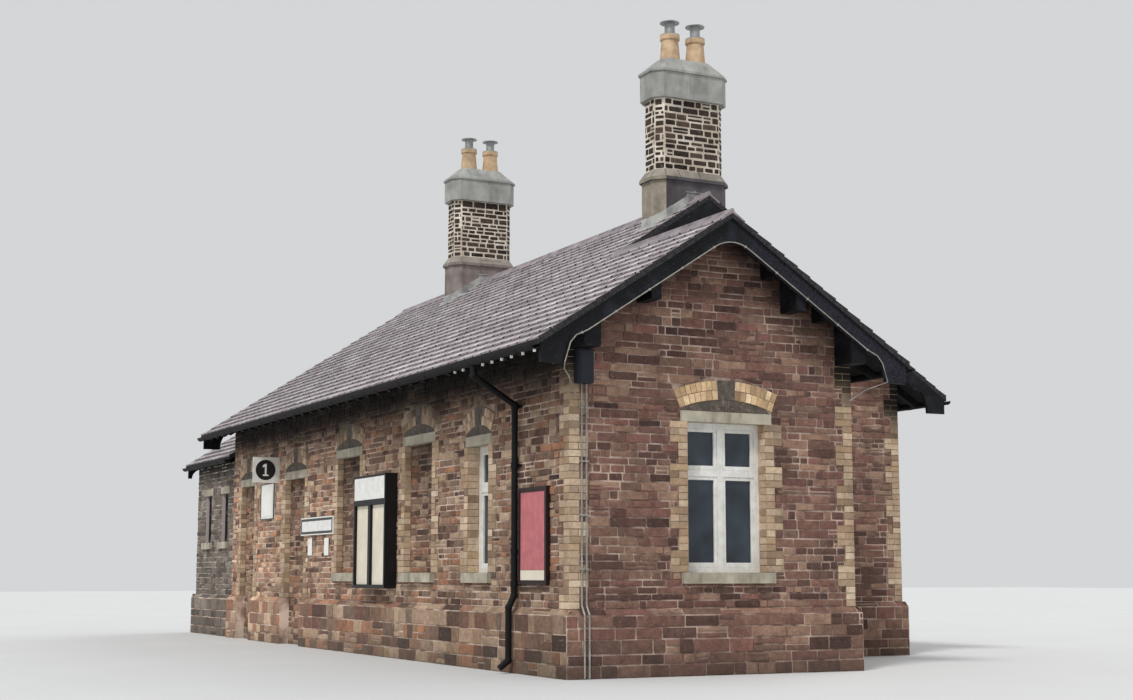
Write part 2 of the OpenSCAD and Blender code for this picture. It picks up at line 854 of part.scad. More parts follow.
module rear_door() {
    o = rear_doorway;
    color([0.16, 0.2, 0.26]) on_rear(y_back) difference() {
        block([o[0] - o[1] / 2 + frame_w, frame_back + rear_door_set, o[2]],
              [o[0] + o[1] / 2 - frame_w, frame_back + rear_door_set + rear_door_t, o[3] - frame_w]);
        for (row = [0.08, 0.5])
            for (side = [-1, 1])
                translate([o[0] + side * rear_door_w * 0.2, frame_back, o[2] + rear_door_h * row])
                    block([-rear_door_w * 0.14, 0, 0],
                          [rear_door_w * 0.14, rear_door_set + rear_panel_d, rear_door_h * 0.36]);
    }
}

// One slope of a roof as a profile in (y, z), from the eave up to short of the ridge
module slope_profile(y_wall, z_wall, y_ridge, short = 0, reach = eave_out) {
    side = y_ridge > y_wall ? 1 : -1;
    run = abs(y_ridge - y_wall) - short;
    polygon([[y_wall - side * reach, z_wall - reach * grade],
             [y_wall + side * run, z_wall + run * grade],
             [y_wall + side * run, z_wall + run * grade - slate_t],
             [y_wall - side * reach, z_wall - reach * grade - slate_t]]);
}

module stack_plan(w, d, cut) {
    polygon([[cut, -w / 2], [d - cut, -w / 2], [d, -w / 2 + cut], [d, w / 2 - cut],
             [d - cut, w / 2], [cut, w / 2], [0, w / 2 - cut], [0, -w / 2 + cut]]);
}

// The two chimneys as they pass through the roof
module stack_holes() {
    for (x = [near_stack_x, far_stack_x])
        translate([x, 0, stack_seat - past]) linear_extrude(main_ridge_h)
            offset_plan();
}
module offset_plan() {
    translate([-fit, 0, 0]) stack_plan(stack_w + 2 * fit, stack_d + 2 * fit, stack_cut);
}

module main_platform_slope() {
    color(slate_color) difference() {
        along_x(verge_main_b - slate_past, verge_main_a) slope_profile(y_front, plate_h, 0);
        stack_holes();
    }
}

module main_rear_slope() {
    color(slate_color) difference() {
        along_x(verge_main_b - slate_past, verge_main_a) slope_profile(y_back, plate_h, 0);
        stack_holes();
    }
}

module near_platform_slope() {
    color(slate_color)
        along_x(verge_main_a, verge_near + slate_past) slope_profile(y_front, plate_h, y_near_ridge);
}

module near_rear_slope() {
    color(slate_color) difference() {
        along_x(x_main_a, verge_near + slate_past) slope_profile(y_near_back, plate_h, y_near_ridge);
        along_x(x_main_a - past, verge_main_a + fit)
            polygon([[y_front, plate_h - slate_t - fit], [0, main_ridge_h - slate_t - fit],
                     [0, main_ridge_h + slate_t], [y_front, plate_h + slate_t]]);
    }
}

module far_roof_slopes() {
    color(slate_color) {
        for (y = [y_far_front, y_far_back])
            along_x(verge_far - slate_past, x_main_b)
                slope_profile(y, far_plate_h, y_far_ridge, fit / 2, far_eave_out);
    }
}

// Section of a ridge tile that sits on the point of the roof at (0, 0)
module ridge_section() {
    wing_y = ridge_wing * cos(pitch);
    wing_z = ridge_wing * sin(pitch);
    lift = fit;
    difference() {
        union() {
            polygon([[0, lift], [wing_y, lift - wing_z], [wing_y, lift - wing_z + ridge_t],
                     [0, lift + ridge_t / cos(pitch)],
                     [-wing_y, lift - wing_z + ridge_t], [-wing_y, lift - wing_z]]);
            translate([0, lift + ridge_t + ridge_roll / 3]) circle(d = ridge_roll, $fn = 48);
        }
        polygon([[0, lift], [wing_y, lift - wing_z], [-wing_y, lift - wing_z]]);
    }
}

module ridge_run(x0, x1, y, z) {
    along_x(x0, x1) translate([y, z]) ridge_section();
}

module ridge_tiles() {
    color(cap_color) {
        ridge_run(near_stack_x + stack_d + fit, verge_main_a, 0, main_ridge_h);
        ridge_run(far_stack_x + stack_d + fit, near_stack_x - fit, 0, main_ridge_h);
        ridge_run(verge_main_b - slate_past, far_stack_x - fit, 0, main_ridge_h);
        ridge_run(verge_main_a + fit, verge_near + slate_past, y_near_ridge, near_ridge_h);
        ridge_run(verge_far - slate_past, x_main_b - fit, y_far_ridge, far_ridge_h);
    }
}

// One board of a verge in (y, z), for a wall face at y = 0 that looks towards -y
module barge_board(half, reach) {
    drop = barge_h / cos(pitch);
    under = -slate_t - fit;
    out = reach - eave_set;
    gap = out * foot_gap;
    foot_z = -reach * grade - foot_drop;
    apex_r = apex_run / sin(pitch);
    lower_start = foot_sweep - gap;
    polygon(concat(
        [[half - fit / 2, under + (half - fit / 2) * grade], [-out, under - out * grade],
         [-out, foot_z], [-gap, foot_z]],
        [for (turn = [15 : 15 : 75])
            [lower_start - foot_sweep * cos(turn),
             foot_z + (under - drop + lower_start * grade - foot_z) * sin(turn)]],
        [[lower_start, under - drop + lower_start * grade]],
        [for (share = [1 : -0.2 : 0.2])
            [half - apex_r * sin(share * pitch),
             under - drop + (half - apex_run) * grade
                 + apex_r * (cos(share * pitch) - cos(pitch))]],
        [[half - fit / 2, under - drop + (half - apex_run) * grade + apex_r * (1 - cos(pitch))]]));
}

// The two boards of a verge, over walls at y0 and y1
module barge_pair(x0, x1, y0, y1, z_wall, reach = eave_out) {
    half = (y1 - y0) / 2;
    translate([0, y0, z_wall]) along_x(x0, x1) barge_board(half, reach);
    translate([0, y1, z_wall]) mirror([0, 1, 0]) along_x(x0, x1) barge_board(half, reach);
}

module near_bargeboards() {
    color(wood_color) barge_pair(verge_near - barge_t, verge_near, y_front, y_near_back, plate_h);
}

module main_bargeboards() {
    color(wood_color) {
        difference() {
            barge_pair(verge_main_a - barge_t, verge_main_a, y_front, y_back, plate_h);
            block([x_main_a, y_front - main_depth, 0],
                  [x_near, y_near_ridge, main_ridge_h]);
            along_x(x_main_a, x_near)
                polygon([[y_front, 0], [y_near_back + eave_out + fit, 0],
                         [y_near_back + eave_out + fit, plate_h - eave_out * grade + fit],
                         [y_near_ridge, near_ridge_h + fit + ridge_t],
                         [y_front, plate_h + fit]]);
        }
        barge_pair(verge_main_b, verge_main_b + barge_t, y_front, y_back, plate_h);
    }
}

module far_bargeboards() {
    color(wood_color)
        barge_pair(verge_far, verge_far + barge_t, y_far_front, y_far_back, far_plate_h, far_eave_out);
}

// Purlin ends under a verge, between the wall and the bargeboard
module purlin_row(x0, x1, y0, y1, z_wall) {
    half = (y1 - y0) / 2;
    ridge_y = (y0 + y1) / 2;
    for (side = [-1, 1])
        for (share = [0.36, 0.74])
            translate([0, ridge_y + side * half * share, z_wall + half * (1 - share) * grade])
                along_x(x0, x1)
                    polygon([for (p = [[-purlin_w / 2, 0], [purlin_w / 2, 0]])
                                 [p[0], -slate_t - fit - side * p[0] * grade],
                             [purlin_w / 2, -slate_t - purlin_h], [-purlin_w / 2, -slate_t - purlin_h]]);
}

module purlin_ends() {
    color(wood_color) {
        purlin_row(x_near, verge_near - barge_t, y_front, y_near_back, plate_h);
        purlin_row(verge_far + barge_t, x_far, y_far_front, y_far_back, far_plate_h);
    }
}

// One rafter foot in (y, z), for a wall face at y = 0 that looks towards -y
module rafter_profile(reach) {
    drop = rafter_h / cos(pitch);
    tip = reach - eave_set;
    polygon([[0, -slate_t - fit], [-tip, -slate_t - fit - tip * grade],
             [-tip, -slate_t - fit - tip * grade - drop * 0.45],
             [-tip + rafter_h * 0.6, -slate_t - fit - tip * grade + rafter_h * 0.6 * grade - drop],
             [0, -slate_t - fit - drop]]);
}

module rafter_row(x0, x1, y, z, rear, reach = eave_out) {
    count = floor((x1 - x0) / rafter_pitch);
    step = (x1 - x0) / count;
    for (i = [0 : count - 1])
        translate([0, y, z]) mirror([0, rear ? 1 : 0, 0])
            along_x(x0 + (i + 0.5) * step - rafter_w / 2, x0 + (i + 0.5) * step + rafter_w / 2)
                rafter_profile(reach);
}

module rafter_feet() {
    color(wood_color) {
        rafter_row(x_main_b, x_near, y_front, plate_h, false);
        rafter_row(x_main_b, x_main_a, y_back, plate_h, true);
        rafter_row(x_main_a + verge_out, x_near, y_near_back, plate_h, true);
        rafter_row(x_far, x_main_b, y_far_front, far_plate_h, false, far_eave_out);
        rafter_row(x_far, x_main_b, y_far_back, far_plate_h, true, far_eave_out);
    }
}

// A half-round gutter whose inner rim touches the rafter feet
module gutter_run(x0, x1, y, z, rear, reach = eave_out) {
    translate([0, y, z]) mirror([0, rear ? 1 : 0, 0])
        along_x(x0, x1)
            translate([-reach + eave_set - fit - gutter_d / 2,
                       -slate_t - reach * grade + gutter_lift]) {
                difference() {
                    circle(d = gutter_d, $fn = 48);
                    circle(d = gutter_d - 2 * gutter_t, $fn = 48);
                    translate([-gutter_d, 0]) square([2 * gutter_d, gutter_d]);
                }
            }
}

module gutters() {
    color(iron_color) {
        gutter_run(verge_main_b, verge_near, y_front, plate_h, false);
        gutter_run(verge_main_b, verge_main_a, y_back, plate_h, true);
        gutter_run(verge_main_a + past, verge_near, y_near_back, plate_h, true);
        gutter_run(verge_far, x_main_b - plinth_out, y_far_front, far_plate_h, false, far_eave_out);
        gutter_run(verge_far, x_main_b - plinth_out, y_far_back, far_plate_h, true, far_eave_out);
    }
}

// A straight length of pipe between two points
module pipe(a, b) {
    v = b - a;
    translate(a) rotate([0, acos(v[2] / norm(v)), atan2(v[1], v[0])])
        cylinder(d = pipe_d, h = norm(v), $fn = 32);
}

// A downpipe on a wall face at y = 0 that looks towards -y
module downpipe(x, z_gutter) {
    pipe_y = -pipe_d / 2 - pipe_off;
    gutter_y = -eave_out + eave_set - gutter_d / 2;
    foot_y = pipe_y - plinth_out;
    points = [[x, gutter_y, z_gutter], [x, gutter_y, z_gutter - 1.5 * pipe_d],
              [x, pipe_y, z_gutter - 1.5 * pipe_d - eave_out * 0.55], [x, pipe_y, plinth_h + 1.8 * pipe_d],
              [x, foot_y, plinth_h], [x, foot_y, 2 * pipe_d], [x, foot_y - 1.5 * pipe_d, 0.8 * pipe_d]];
    union() {
        for (i = [0 : len(points) - 2]) pipe(points[i], points[i + 1]);
        for (i = [1 : len(points) - 2]) translate(points[i]) sphere(d = pipe_d * 1.16, $fn = 32);
    }
}

module downpipes() {
    color(iron_color) {
        translate([0, y_front, 0])
            downpipe(along(near_pipe_at), gutter_foot);
        translate([0, y_back, 0]) mirror([0, 1, 0])
            downpipe(x_main_b + wall_t, gutter_foot);
    }
}

// Eight-sided block that narrows from one plan to another
module stack_taper(x, z0, z1, w0, d0, cut0, w1, d1, cut1) {
    hull() {
        translate([x + (stack_d - d0) / 2, 0, z0]) linear_extrude(0.01) stack_plan(w0, d0, cut0);
        translate([x + (stack_d - d1) / 2, 0, z1 - 0.01]) linear_extrude(0.01) stack_plan(w1, d1, cut1);
    }
}

// A sloped course that oversails what it stands on
module weathering(x, z0, z1, w0, d0, cut0, lip, w1, d1, cut1) {
    w = w0 + 2 * lip;
    d = d0 + 2 * lip;
    cut = cut0 + lip / 2;
    translate([x + (stack_d - d) / 2, 0, z0]) linear_extrude(lip) stack_plan(w, d, cut);
    stack_taper(x, z0 + lip - 0.01, z1, w, d, cut, w1, d1, cut1);
}

module chimney_base(x) {
    color(stack_color) {
        translate([x, 0, stack_seat]) linear_extrude(stack_top - stack_seat)
            stack_plan(stack_w, stack_d, stack_cut);
        weathering(x, stack_top, shaft_foot, stack_w, stack_d, stack_cut, stack_lip,
                   shaft_w, shaft_d, shaft_cut);
    }
}

module chimney_shaft(x) {
    color(stone_color)
        translate([x + (stack_d - shaft_d) / 2, 0, shaft_foot]) linear_extrude(shaft_h)
            stack_plan(shaft_w, shaft_d, shaft_cut);
}

module chimney_cap(x) {
    cap_w = shaft_w + 2 * cap_out;
    cap_d = shaft_d + 2 * cap_out;
    cap_cut = shaft_cut + cap_out / 2;
    color(cap_color) {
        translate([x + (stack_d - cap_d) / 2, 0, shaft_top]) linear_extrude(cap_h)
            stack_plan(cap_w, cap_d, cap_cut);
        weathering(x, cap_top, cap_crown, cap_w, cap_d, cap_cut, cap_lip, crown_w, crown_d, crown_cut);
    }
}

module near_chimney_base() { chimney_base(near_stack_x); }
module near_chimney_shaft() { chimney_shaft(near_stack_x); }
module near_chimney_cap() { chimney_cap(near_stack_x); }
module far_chimney_base() { chimney_base(far_stack_x); }
module far_chimney_shaft() { chimney_shaft(far_stack_x); }
module far_chimney_cap() { chimney_cap(far_stack_x); }

module chimney_breasts() {
    color(stone_color) {
        block([near_stack_x, -stack_w / 2, floor_t], [x_main_a - wall_t, stack_w / 2, stack_seat]);
        block([far_stack_x, -stack_w / 2, floor_t], [far_stack_x + stack_d, stack_w / 2, stack_seat]);
    }
}

// Middles of the four pots
pot_spots = [for (x = [near_stack_x, far_stack_x]) for (side = [-1, 1])
             [x + stack_d / 2, side * pot_gap / 2]];

module chimney_pots() {
    neck = pot_d / 2 - pot_taper;
    color(pot_color) for (p = pot_spots)
        translate([p[0], p[1], cap_crown]) rotate_extrude($fn = 48)
            polygon([[pot_d / 2 - pot_t, 0], [pot_d / 2, 0], [neck, pot_h * 0.8],
                     [neck + pot_lip, pot_h * 0.83], [neck + pot_lip, pot_h],
                     [neck - pot_t, pot_h]]);
}

module chimney_cowls() {
    color(cap_color) for (p = pot_spots)
        translate([p[0], p[1], pot_top]) {
            cylinder(d = pot_d * 0.5, h = cowl_h, $fn = 32);
            translate([0, 0, cowl_h]) cylinder(d = pot_d * 0.95, h = cowl_t, $fn = 48);
            cylinder(d = pot_d * 0.96, h = cowl_t, $fn = 48);
        }
}

module poster_frame() {
    x = along(poster_at);
    top = poster_foot + poster_h;
    color([0.45, 0.15, 0.17]) difference() {
        block([x - poster_w / 2, y_front - poster_d, poster_foot], [x + poster_w / 2, y_front, top]);
        block([x - poster_w / 2 + poster_rim, y_front - poster_d - past, poster_foot + poster_rim],
              [x + poster_w / 2 - poster_rim, y_front - poster_d * 0.75, top - poster_rim]);
    }
}

// The case holds two tall panels side by side under a header
module notice_board() {
    x = along(board_at);
    face = y_front - board_d;
    top = board_foot + board_h;
    color(iron_color) difference() {
        block([x - board_w / 2, face, board_foot], [x + board_w / 2, y_front, top]);
        for (side = [-1, 1])
            translate([x + side * board_w / 4, 0, 0])
                block([-board_w / 4 + board_rim, face - past, board_foot + board_rim],
                      [board_w / 4 - board_rim, face + board_rim, top - board_head - board_rim]);
    }
}

module wall_plates() {
    x = x_main_b + plate_in;
    sign_x = x_main_b + sign_in;
    face = y_front - dress_proud - fit;
    color(white_color) {
        block([x - plate_t / 2, y_front - plate_w - plate_off, plate_foot],
              [x + plate_t / 2, y_front, plate_foot + plate_w]);
        block([sign_x - sign_w / 2, face - plate_t, sign_foot],
              [sign_x + sign_w / 2, face, sign_foot + sign_h]);
        block([x_main_b + sheet_in - sheet_w / 2, y_front - plate_t, sheet_foot],
              [x_main_b + sheet_in + sheet_w / 2, y_front, sheet_foot + sheet_h]);
    }
}

// A plain service box high on the near gable, beside the platform corner
module wall_box() {
    color([0.12, 0.15, 0.22])
        block([x_near + dress_proud, y_front + box_in, box_foot],
              [x_near + dress_proud + box_d, y_front + box_in + box_w, box_foot + box_h]);
}

floor_slab();
platform_wall();
near_gable_wall();
near_rear_wall();
main_near_gable_wall();
main_far_gable_wall();
main_rear_wall();
far_platform_wall();
far_end_wall();
far_rear_wall();
platform_plinth();
near_gable_plinth();
rear_plinth();
blocked_windows();
blocked_doorways();
corner_quoins();
opening_quoins();
brick_arches();
arch_keystones();
lintels();
sills();
gable_window_frame();
platform_window_frame();
far_window_frames();
rear_window_frames();
window_glass();
rear_door();
rear_door_frame();
main_platform_slope();
main_rear_slope();
near_platform_slope();
near_rear_slope();
far_roof_slopes();
ridge_tiles();
near_bargeboards();
main_bargeboards();
far_bargeboards();
purlin_ends();
rafter_feet();
gutters();
downpipes();
near_chimney_base();
near_chimney_shaft();
near_chimney_cap();
far_chimney_base();
far_chimney_shaft();
far_chimney_cap();
chimney_breasts();
chimney_pots();
chimney_cowls();
poster_frame();
notice_board();
wall_plates();
wall_box();
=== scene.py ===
"""Looks of the railway station building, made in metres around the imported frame.

The front with the arches faces -Y, the near gable faces +X and the ground is at z = 0.
"""
import math
import random

import bmesh
import bpy
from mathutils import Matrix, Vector


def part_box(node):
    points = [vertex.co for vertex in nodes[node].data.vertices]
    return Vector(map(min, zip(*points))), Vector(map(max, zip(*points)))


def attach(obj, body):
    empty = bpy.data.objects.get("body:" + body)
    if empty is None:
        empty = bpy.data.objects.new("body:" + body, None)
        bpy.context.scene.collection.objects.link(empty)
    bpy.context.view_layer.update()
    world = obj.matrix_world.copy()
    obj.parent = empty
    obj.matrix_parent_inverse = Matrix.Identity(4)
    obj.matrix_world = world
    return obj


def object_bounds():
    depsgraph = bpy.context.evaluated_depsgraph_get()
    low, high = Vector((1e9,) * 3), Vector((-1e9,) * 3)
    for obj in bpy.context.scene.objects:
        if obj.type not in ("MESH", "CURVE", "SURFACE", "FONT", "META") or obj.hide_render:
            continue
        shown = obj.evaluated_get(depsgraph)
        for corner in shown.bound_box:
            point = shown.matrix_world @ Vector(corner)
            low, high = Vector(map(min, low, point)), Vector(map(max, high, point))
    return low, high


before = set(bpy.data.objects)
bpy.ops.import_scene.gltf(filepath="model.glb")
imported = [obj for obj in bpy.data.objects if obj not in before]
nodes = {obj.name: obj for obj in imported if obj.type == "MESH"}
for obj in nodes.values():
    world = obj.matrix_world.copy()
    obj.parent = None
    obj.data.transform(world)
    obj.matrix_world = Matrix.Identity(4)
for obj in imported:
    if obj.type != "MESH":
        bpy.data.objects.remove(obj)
cad_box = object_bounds()


def low(node):
    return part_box(node)[0]


def high(node):
    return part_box(node)[1]


# Places read from the frame
X_NEAR = high("near_gable_wall").x
X_MAIN_A = high("main_near_gable_wall").x
X_MAIN_B = low("main_far_gable_wall").x
X_FAR = low("far_end_wall").x
Y_FRONT = low("platform_wall").y
Y_BACK = high("main_rear_wall").y
Y_NEAR_BACK = high("near_rear_wall").y
Y_FAR_FRONT = low("far_platform_wall").y
Y_FAR_BACK = high("far_rear_wall").y
WALL_TOP = high("platform_wall").z
FAR_WALL_TOP = high("far_platform_wall").z
PLINTH_TOP = high("platform_plinth").z
PLINTH_OUT = Y_FRONT - low("platform_plinth").y
VERGE_NEAR = high("near_platform_slope").x
VERGE_NEAR_BOARD = high("near_bargeboards").x
VERGE_MAIN_A = high("main_platform_slope").x
VERGE_MAIN_B = low("main_platform_slope").x
VERGE_FAR = low("far_roof_slopes").x
Y_EAVE = low("main_platform_slope").y
MAIN_RIDGE = high("main_platform_slope").z
NEAR_RIDGE = high("near_platform_slope").z
FAR_RIDGE = high("far_roof_slopes").z
Y_NEAR_RIDGE = (Y_FRONT + Y_NEAR_BACK) / 2
Y_FAR_RIDGE = (Y_FAR_FRONT + Y_FAR_BACK) / 2
GRADE = (MAIN_RIDGE - NEAR_RIDGE) / -Y_NEAR_RIDGE
PITCH = math.atan(GRADE)
GABLE_TOP = WALL_TOP + (Y_NEAR_RIDGE - Y_FRONT) * GRADE
MAIN_GABLE_TOP = WALL_TOP + Y_BACK * GRADE

# Sizes that the source gives its dressings, in metres
PROUD = 0.008
QUOIN_H = 0.228
QUOIN_LONG = 0.235
QUOIN_SHORT = 0.125
LINTEL_END = 0.09
ARCH_RING = 0.23
ARCH_RISE = 0.135
ARCH_END = 0.18
ARCH_GAP = 0.025
KEY_W = 0.25
CHAMFER = 0.07
SLATE_T = 0.06

# What counts as nothing: an overlap and a part in square metres, and a step between points in metres
NO_OVERLAP = 1e-6
NO_PART = 1e-5
NO_STEP = 1e-3

# Outlines in a plane are lists of (a, b) points, anticlockwise and convex


def rect(a0, b0, a1, b1):
    return [(a0, b0), (a1, b0), (a1, b1), (a0, b1)]


def extent(poly):
    """The least a and b of an outline, and the greatest."""
    across, upward = zip(*poly)
    return min(across), min(upward), max(across), max(upward)


def sides(poly):
    """Each corner with the next one, all the way round."""
    return list(zip(poly, poly[1:] + poly[:1]))


def area(poly):
    return sum(a0 * b1 - a1 * b0 for (a0, b0), (a1, b1) in sides(poly)) / 2


def border(a0, b0, a1, b1, w):
    """Four strips inside a rectangle: its foot, its top and, between them, its left and right."""
    return [rect(a0, b0, a1, b0 + w), rect(a0, b1 - w, a1, b1),
            rect(a0, b0 + w, a0 + w, b1 - w), rect(a1 - w, b0 + w, a1, b1 - w)]


def clip(poly, p, q):
    """The part of a convex outline on the left of the line from p to q."""
    da, db = q[0] - p[0], q[1] - p[1]
    off = [da * (b - p[1]) - db * (a - p[0]) for a, b in poly]
    kept = []
    for (s0, p0), (s1, p1) in sides(list(zip(off, poly))):
        if s0 >= 0:
            kept.append(p0)
        if (s0 > 0 > s1) or (s0 < 0 < s1):
            t = s0 / (s0 - s1)
            kept.append((p0[0] + t * (p1[0] - p0[0]), p0[1] + t * (p1[1] - p0[1])))
    return kept


def edges(poly):
    """Upright edges first, so that what is cut keeps its full height beside a hole."""
    return sorted(sides(poly), key=lambda e: abs(e[1][0] - e[0][0]))


def intersect(poly, region):
    for p, q in edges(region):
        poly = clip(poly, p, q)
        if len(poly) < 3:
            return []
    return poly


def subtract(poly, hole):
    """Convex parts of a convex outline outside a convex hole."""
    if area(intersect(poly, hole) or [(0, 0)]) < NO_OVERLAP:
        return [poly]
    parts, rest = [], poly
    for p, q in edges(hole):
        outside = clip(rest, q, p)
        if len(outside) > 2 and area(outside) > NO_PART:
            parts.append(outside)
        rest = clip(rest, p, q)
    return parts


def fitted(outline, region, holes):
    """Convex parts of an outline inside a region and outside its holes."""
    parts = [intersect(outline, region)]
    for hole in holes:
        parts = [q for p in parts if len(p) > 2 for q in subtract(p, hole)]
    return parts


def cleaned(poly):
    """An outline without the corners that fall on the one before."""
    kept = []
    for p in poly:
        if not kept or math.dist(p, kept[-1]) > NO_STEP:
            kept.append(p)
    if len(kept) > 1 and math.dist(kept[0], kept[-1]) < NO_STEP:
        kept.pop()
    return kept


def inset(poly, depth):
    """A convex outline moved inwards by depth on every side, or nothing where it is too narrow."""
    lines = []
    for (a0, b0), (a1, b1) in sides(poly):
        length = math.hypot(a1 - a0, b1 - b0)
        na, nb = -(b1 - b0) / length * depth, (a1 - a0) / length * depth
        lines.append(((a0 + na, b0 + nb), (a1 + na, b1 + nb)))
    moved = []
    for (p, q), (r, s) in zip(lines[-1:] + lines[:-1], lines):
        d0, d1 = (q[0] - p[0], q[1] - p[1]), (s[0] - r[0], s[1] - r[1])
        cross = d0[0] * d1[1] - d0[1] * d1[0]
        if abs(cross) < 1e-9:
            moved.append(r)
            continue
        t = ((r[0] - p[0]) * d1[1] - (r[1] - p[1]) * d1[0]) / cross
        moved.append((p[0] + t * d0[0], p[1] + t * d0[1]))
    for (p0, p1), (q0, q1) in zip(sides(poly), sides(moved)):
        if (p1[0] - p0[0]) * (q1[0] - q0[0]) + (p1[1] - p0[1]) * (q1[1] - q0[1]) <= 0:
            return []
    return moved


# Faces that join rings of points


def ring_faces(rings, n):
    """Side faces of a stack of rings with n points each."""
    return [[r * n + i, r * n + (i + 1) % n, (r + 1) * n + (i + 1) % n, (r + 1) * n + i]
            for r in range(rings - 1) for i in range(n)]


def closed_faces(rings, n):
    """Side faces, and the first and last ring as ends."""
    return ring_faces(rings, n) + [list(range(n))[::-1], [(rings - 1) * n + i for i in range(n)]]


def circle(n):
    return [(math.cos(2 * math.pi * i / n), math.sin(2 * math.pi * i / n)) for i in range(n)]


class Plane:
    """A flat face of the building, with a to the right, b up and d outwards."""

    def __init__(self, origin, right, up=(0, 0, 1)):
        self.origin, self.right, self.up = Vector(origin), Vector(right), Vector(up).normalized()
        self.out = self.right.cross(self.up)

    def at(self, a, b, d=0.0):
        return self.origin + self.right * a + self.up * b + self.out * d

    def outline(self, lo, hi):
        """The rectangle that a box makes on the plane."""
        p, q = Vector(lo) - self.origin, Vector(hi) - self.origin
        a = sorted((p.dot(self.right), q.dot(self.right)))
        b = sorted((p.dot(self.up), q.dot(self.up)))
        return rect(a[0], b[0], a[1], b[1])

    def moved(self, d):
        return Plane(self.at(0, 0, d), self.right, self.up)


# Rough stones: how deep they are bedded, their worn edge, and the narrowest that has worn corners
BEDDED = -0.002
STONE_BEVEL = 0.005
STONE_FACE_IN = 0.011
LEAST_ROUGH = 0.045


class Pile:
    """Many small solids that are shown as one piece. Each one has a random tone."""

    def __init__(self, seed):
        self.points, self.faces, self.tones, self.marks = [], [], [], []
        self.rnd = random.Random(seed)

    def add(self, points, faces, tone=None, marks=()):
        """marks holds a (run, across) pair for each point, for a material that follows a slate's edges."""
        start = len(self.points)
        tone = self.rnd.random() if tone is None else tone
        self.points += [tuple(p) for p in points]
        self.tones += [tone] * len(points)
        self.marks += marks
        self.faces += [[start + i for i in f] for f in faces]

    def tablet(self, plane, outline, joint, bevel, proud, dome=0.0, foot=BEDDED):
        """A stone, brick or board that stands out of a plane, with worn edges."""
        edge = inset(cleaned(outline), joint / 2)
        face = inset(edge, bevel) if edge else []
        if face:
            self.raised(plane, edge, face, bevel, proud, dome, foot)

    def raised(self, plane, edge, face, bevel, proud, dome, foot=BEDDED):
        """A low block between two outlines, with a flat or a domed face."""
        n = len(edge)
        rings = [(edge, foot), (edge, proud - bevel * 0.6), (face, proud)]
        points = [plane.at(a, b, d) for ring, d in rings for a, b in ring]
        faces = ring_faces(3, n)
        if dome:
            points.append(plane.at(sum(a for a, b in face) / n, sum(b for a, b in face) / n, proud + dome))
            faces += [[2 * n + i, 2 * n + (i + 1) % n, 3 * n] for i in range(n)]
        else:
            faces.append([2 * n + i for i in range(n)])
        self.add(points, faces)

    def stone(self, plane, outline, joint, proud, dome):
        """A rough stone, with uneven joints round it and worn corners."""
        rnd = self.rnd
        a0, b0, a1, b1 = extent(outline)
        if area(outline) < (a1 - a0) * (b1 - b0) - NO_OVERLAP or min(a1 - a0, b1 - b0) < LEAST_ROUGH:
            self.tablet(plane, outline, joint, STONE_BEVEL, proud, dome)
            return
        gaps = [joint / 2 * rnd.uniform(0.45, 1.6) for _ in range(4)]
        a0, b0, a1, b1 = a0 + gaps[0], b0 + gaps[1], a1 - gaps[2], b1 - gaps[3]
        cuts = [rnd.uniform(0.003, 0.013) for _ in range(4)]
        slack = [rnd.uniform(0, 0.0035) for _ in range(8)]
        worn = [(a0 + cuts[0], b0 + slack[0]), (a1 - cuts[1], b0 + slack[1]),
                (a1 - slack[2], b0 + cuts[1]), (a1 - slack[3], b1 - cuts[2]),
                (a1 - cuts[2], b1 - slack[4]), (a0 + cuts[3], b1 - slack[5]),
                (a0 + slack[6], b1 - cuts[3]), (a0 + slack[7], b0 + cuts[0])]
        ma, mb = (a0 + a1) / 2, (b0 + b1) / 2
        ka, kb = 1 - STONE_FACE_IN / (a1 - a0), 1 - STONE_FACE_IN / (b1 - b0)
        face = [(ma + (a - ma) * ka, mb + (b - mb) * kb) for a, b in worn]
        self.raised(plane, worn, face, STONE_BEVEL, proud, dome)

    def block(self, lo, hi, bevel):
        """A box with chamfered edges."""
        bm = bmesh.new()
        size = [h - l for l, h in zip(lo, hi)]
        bmesh.ops.create_cube(bm, size=1)
        for v in bm.verts:
            v.co = Vector([(l + h) / 2 + c * s for l, h, c, s in zip(lo, hi, v.co, size)])
        bmesh.ops.bevel(bm, geom=bm.edges[:], offset=min(bevel, min(size) * 0.3), segments=1,
                        affect="EDGES", profile=0.5)
        bm.verts.index_update()
        self.add([v.co.copy() for v in bm.verts], [[v.index for v in f.verts] for f in bm.faces])
        bm.free()

    def rod(self, path, radius, n=10):
        """A round bar along a list of points, closed at both ends."""
        path = [Vector(p) for p in path]
        points = []
        for i, p in enumerate(path):
            ahead = path[min(i + 1, len(path) - 1)] - path[max(i - 1, 0)]
            turn = ahead.to_track_quat("Z", "Y").to_matrix()
            points += [p + turn @ Vector((c, s, 0)) * radius for c, s in circle(n)]
        self.add(points, closed_faces(len(path), n))

    def turned(self, plane, a, b, profile, n=24):
        """A round form that stands out of a plane. The profile holds (radius, distance out) pairs."""
        points = [plane.at(a + r * c, b + r * s, d) for r, d in profile for c, s in circle(n)]
        self.add(points, closed_faces(len(profile), n))

    def sheet(self, plane, outline, proud=0.004, bevel=0.001):
        """A thin plate with no joint round it."""
        self.tablet(plane, outline, 0, bevel, proud)

    def piece(self, name, material, slot):
        mesh = bpy.data.meshes.new(name)
        mesh.from_pydata(self.points, [], self.faces)
        columns = {"tone": self.tones}
        if self.marks:
            columns["run"], columns["across"] = zip(*self.marks)
        for key, values in columns.items():
            mesh.attributes.new(key, "FLOAT", "POINT").data.foreach_set("value", values)
        mesh.materials.append(M[material])
        piece = bpy.data.objects.new(name, mesh)
        bpy.context.scene.collection.objects.link(piece)
        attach(piece, "root")


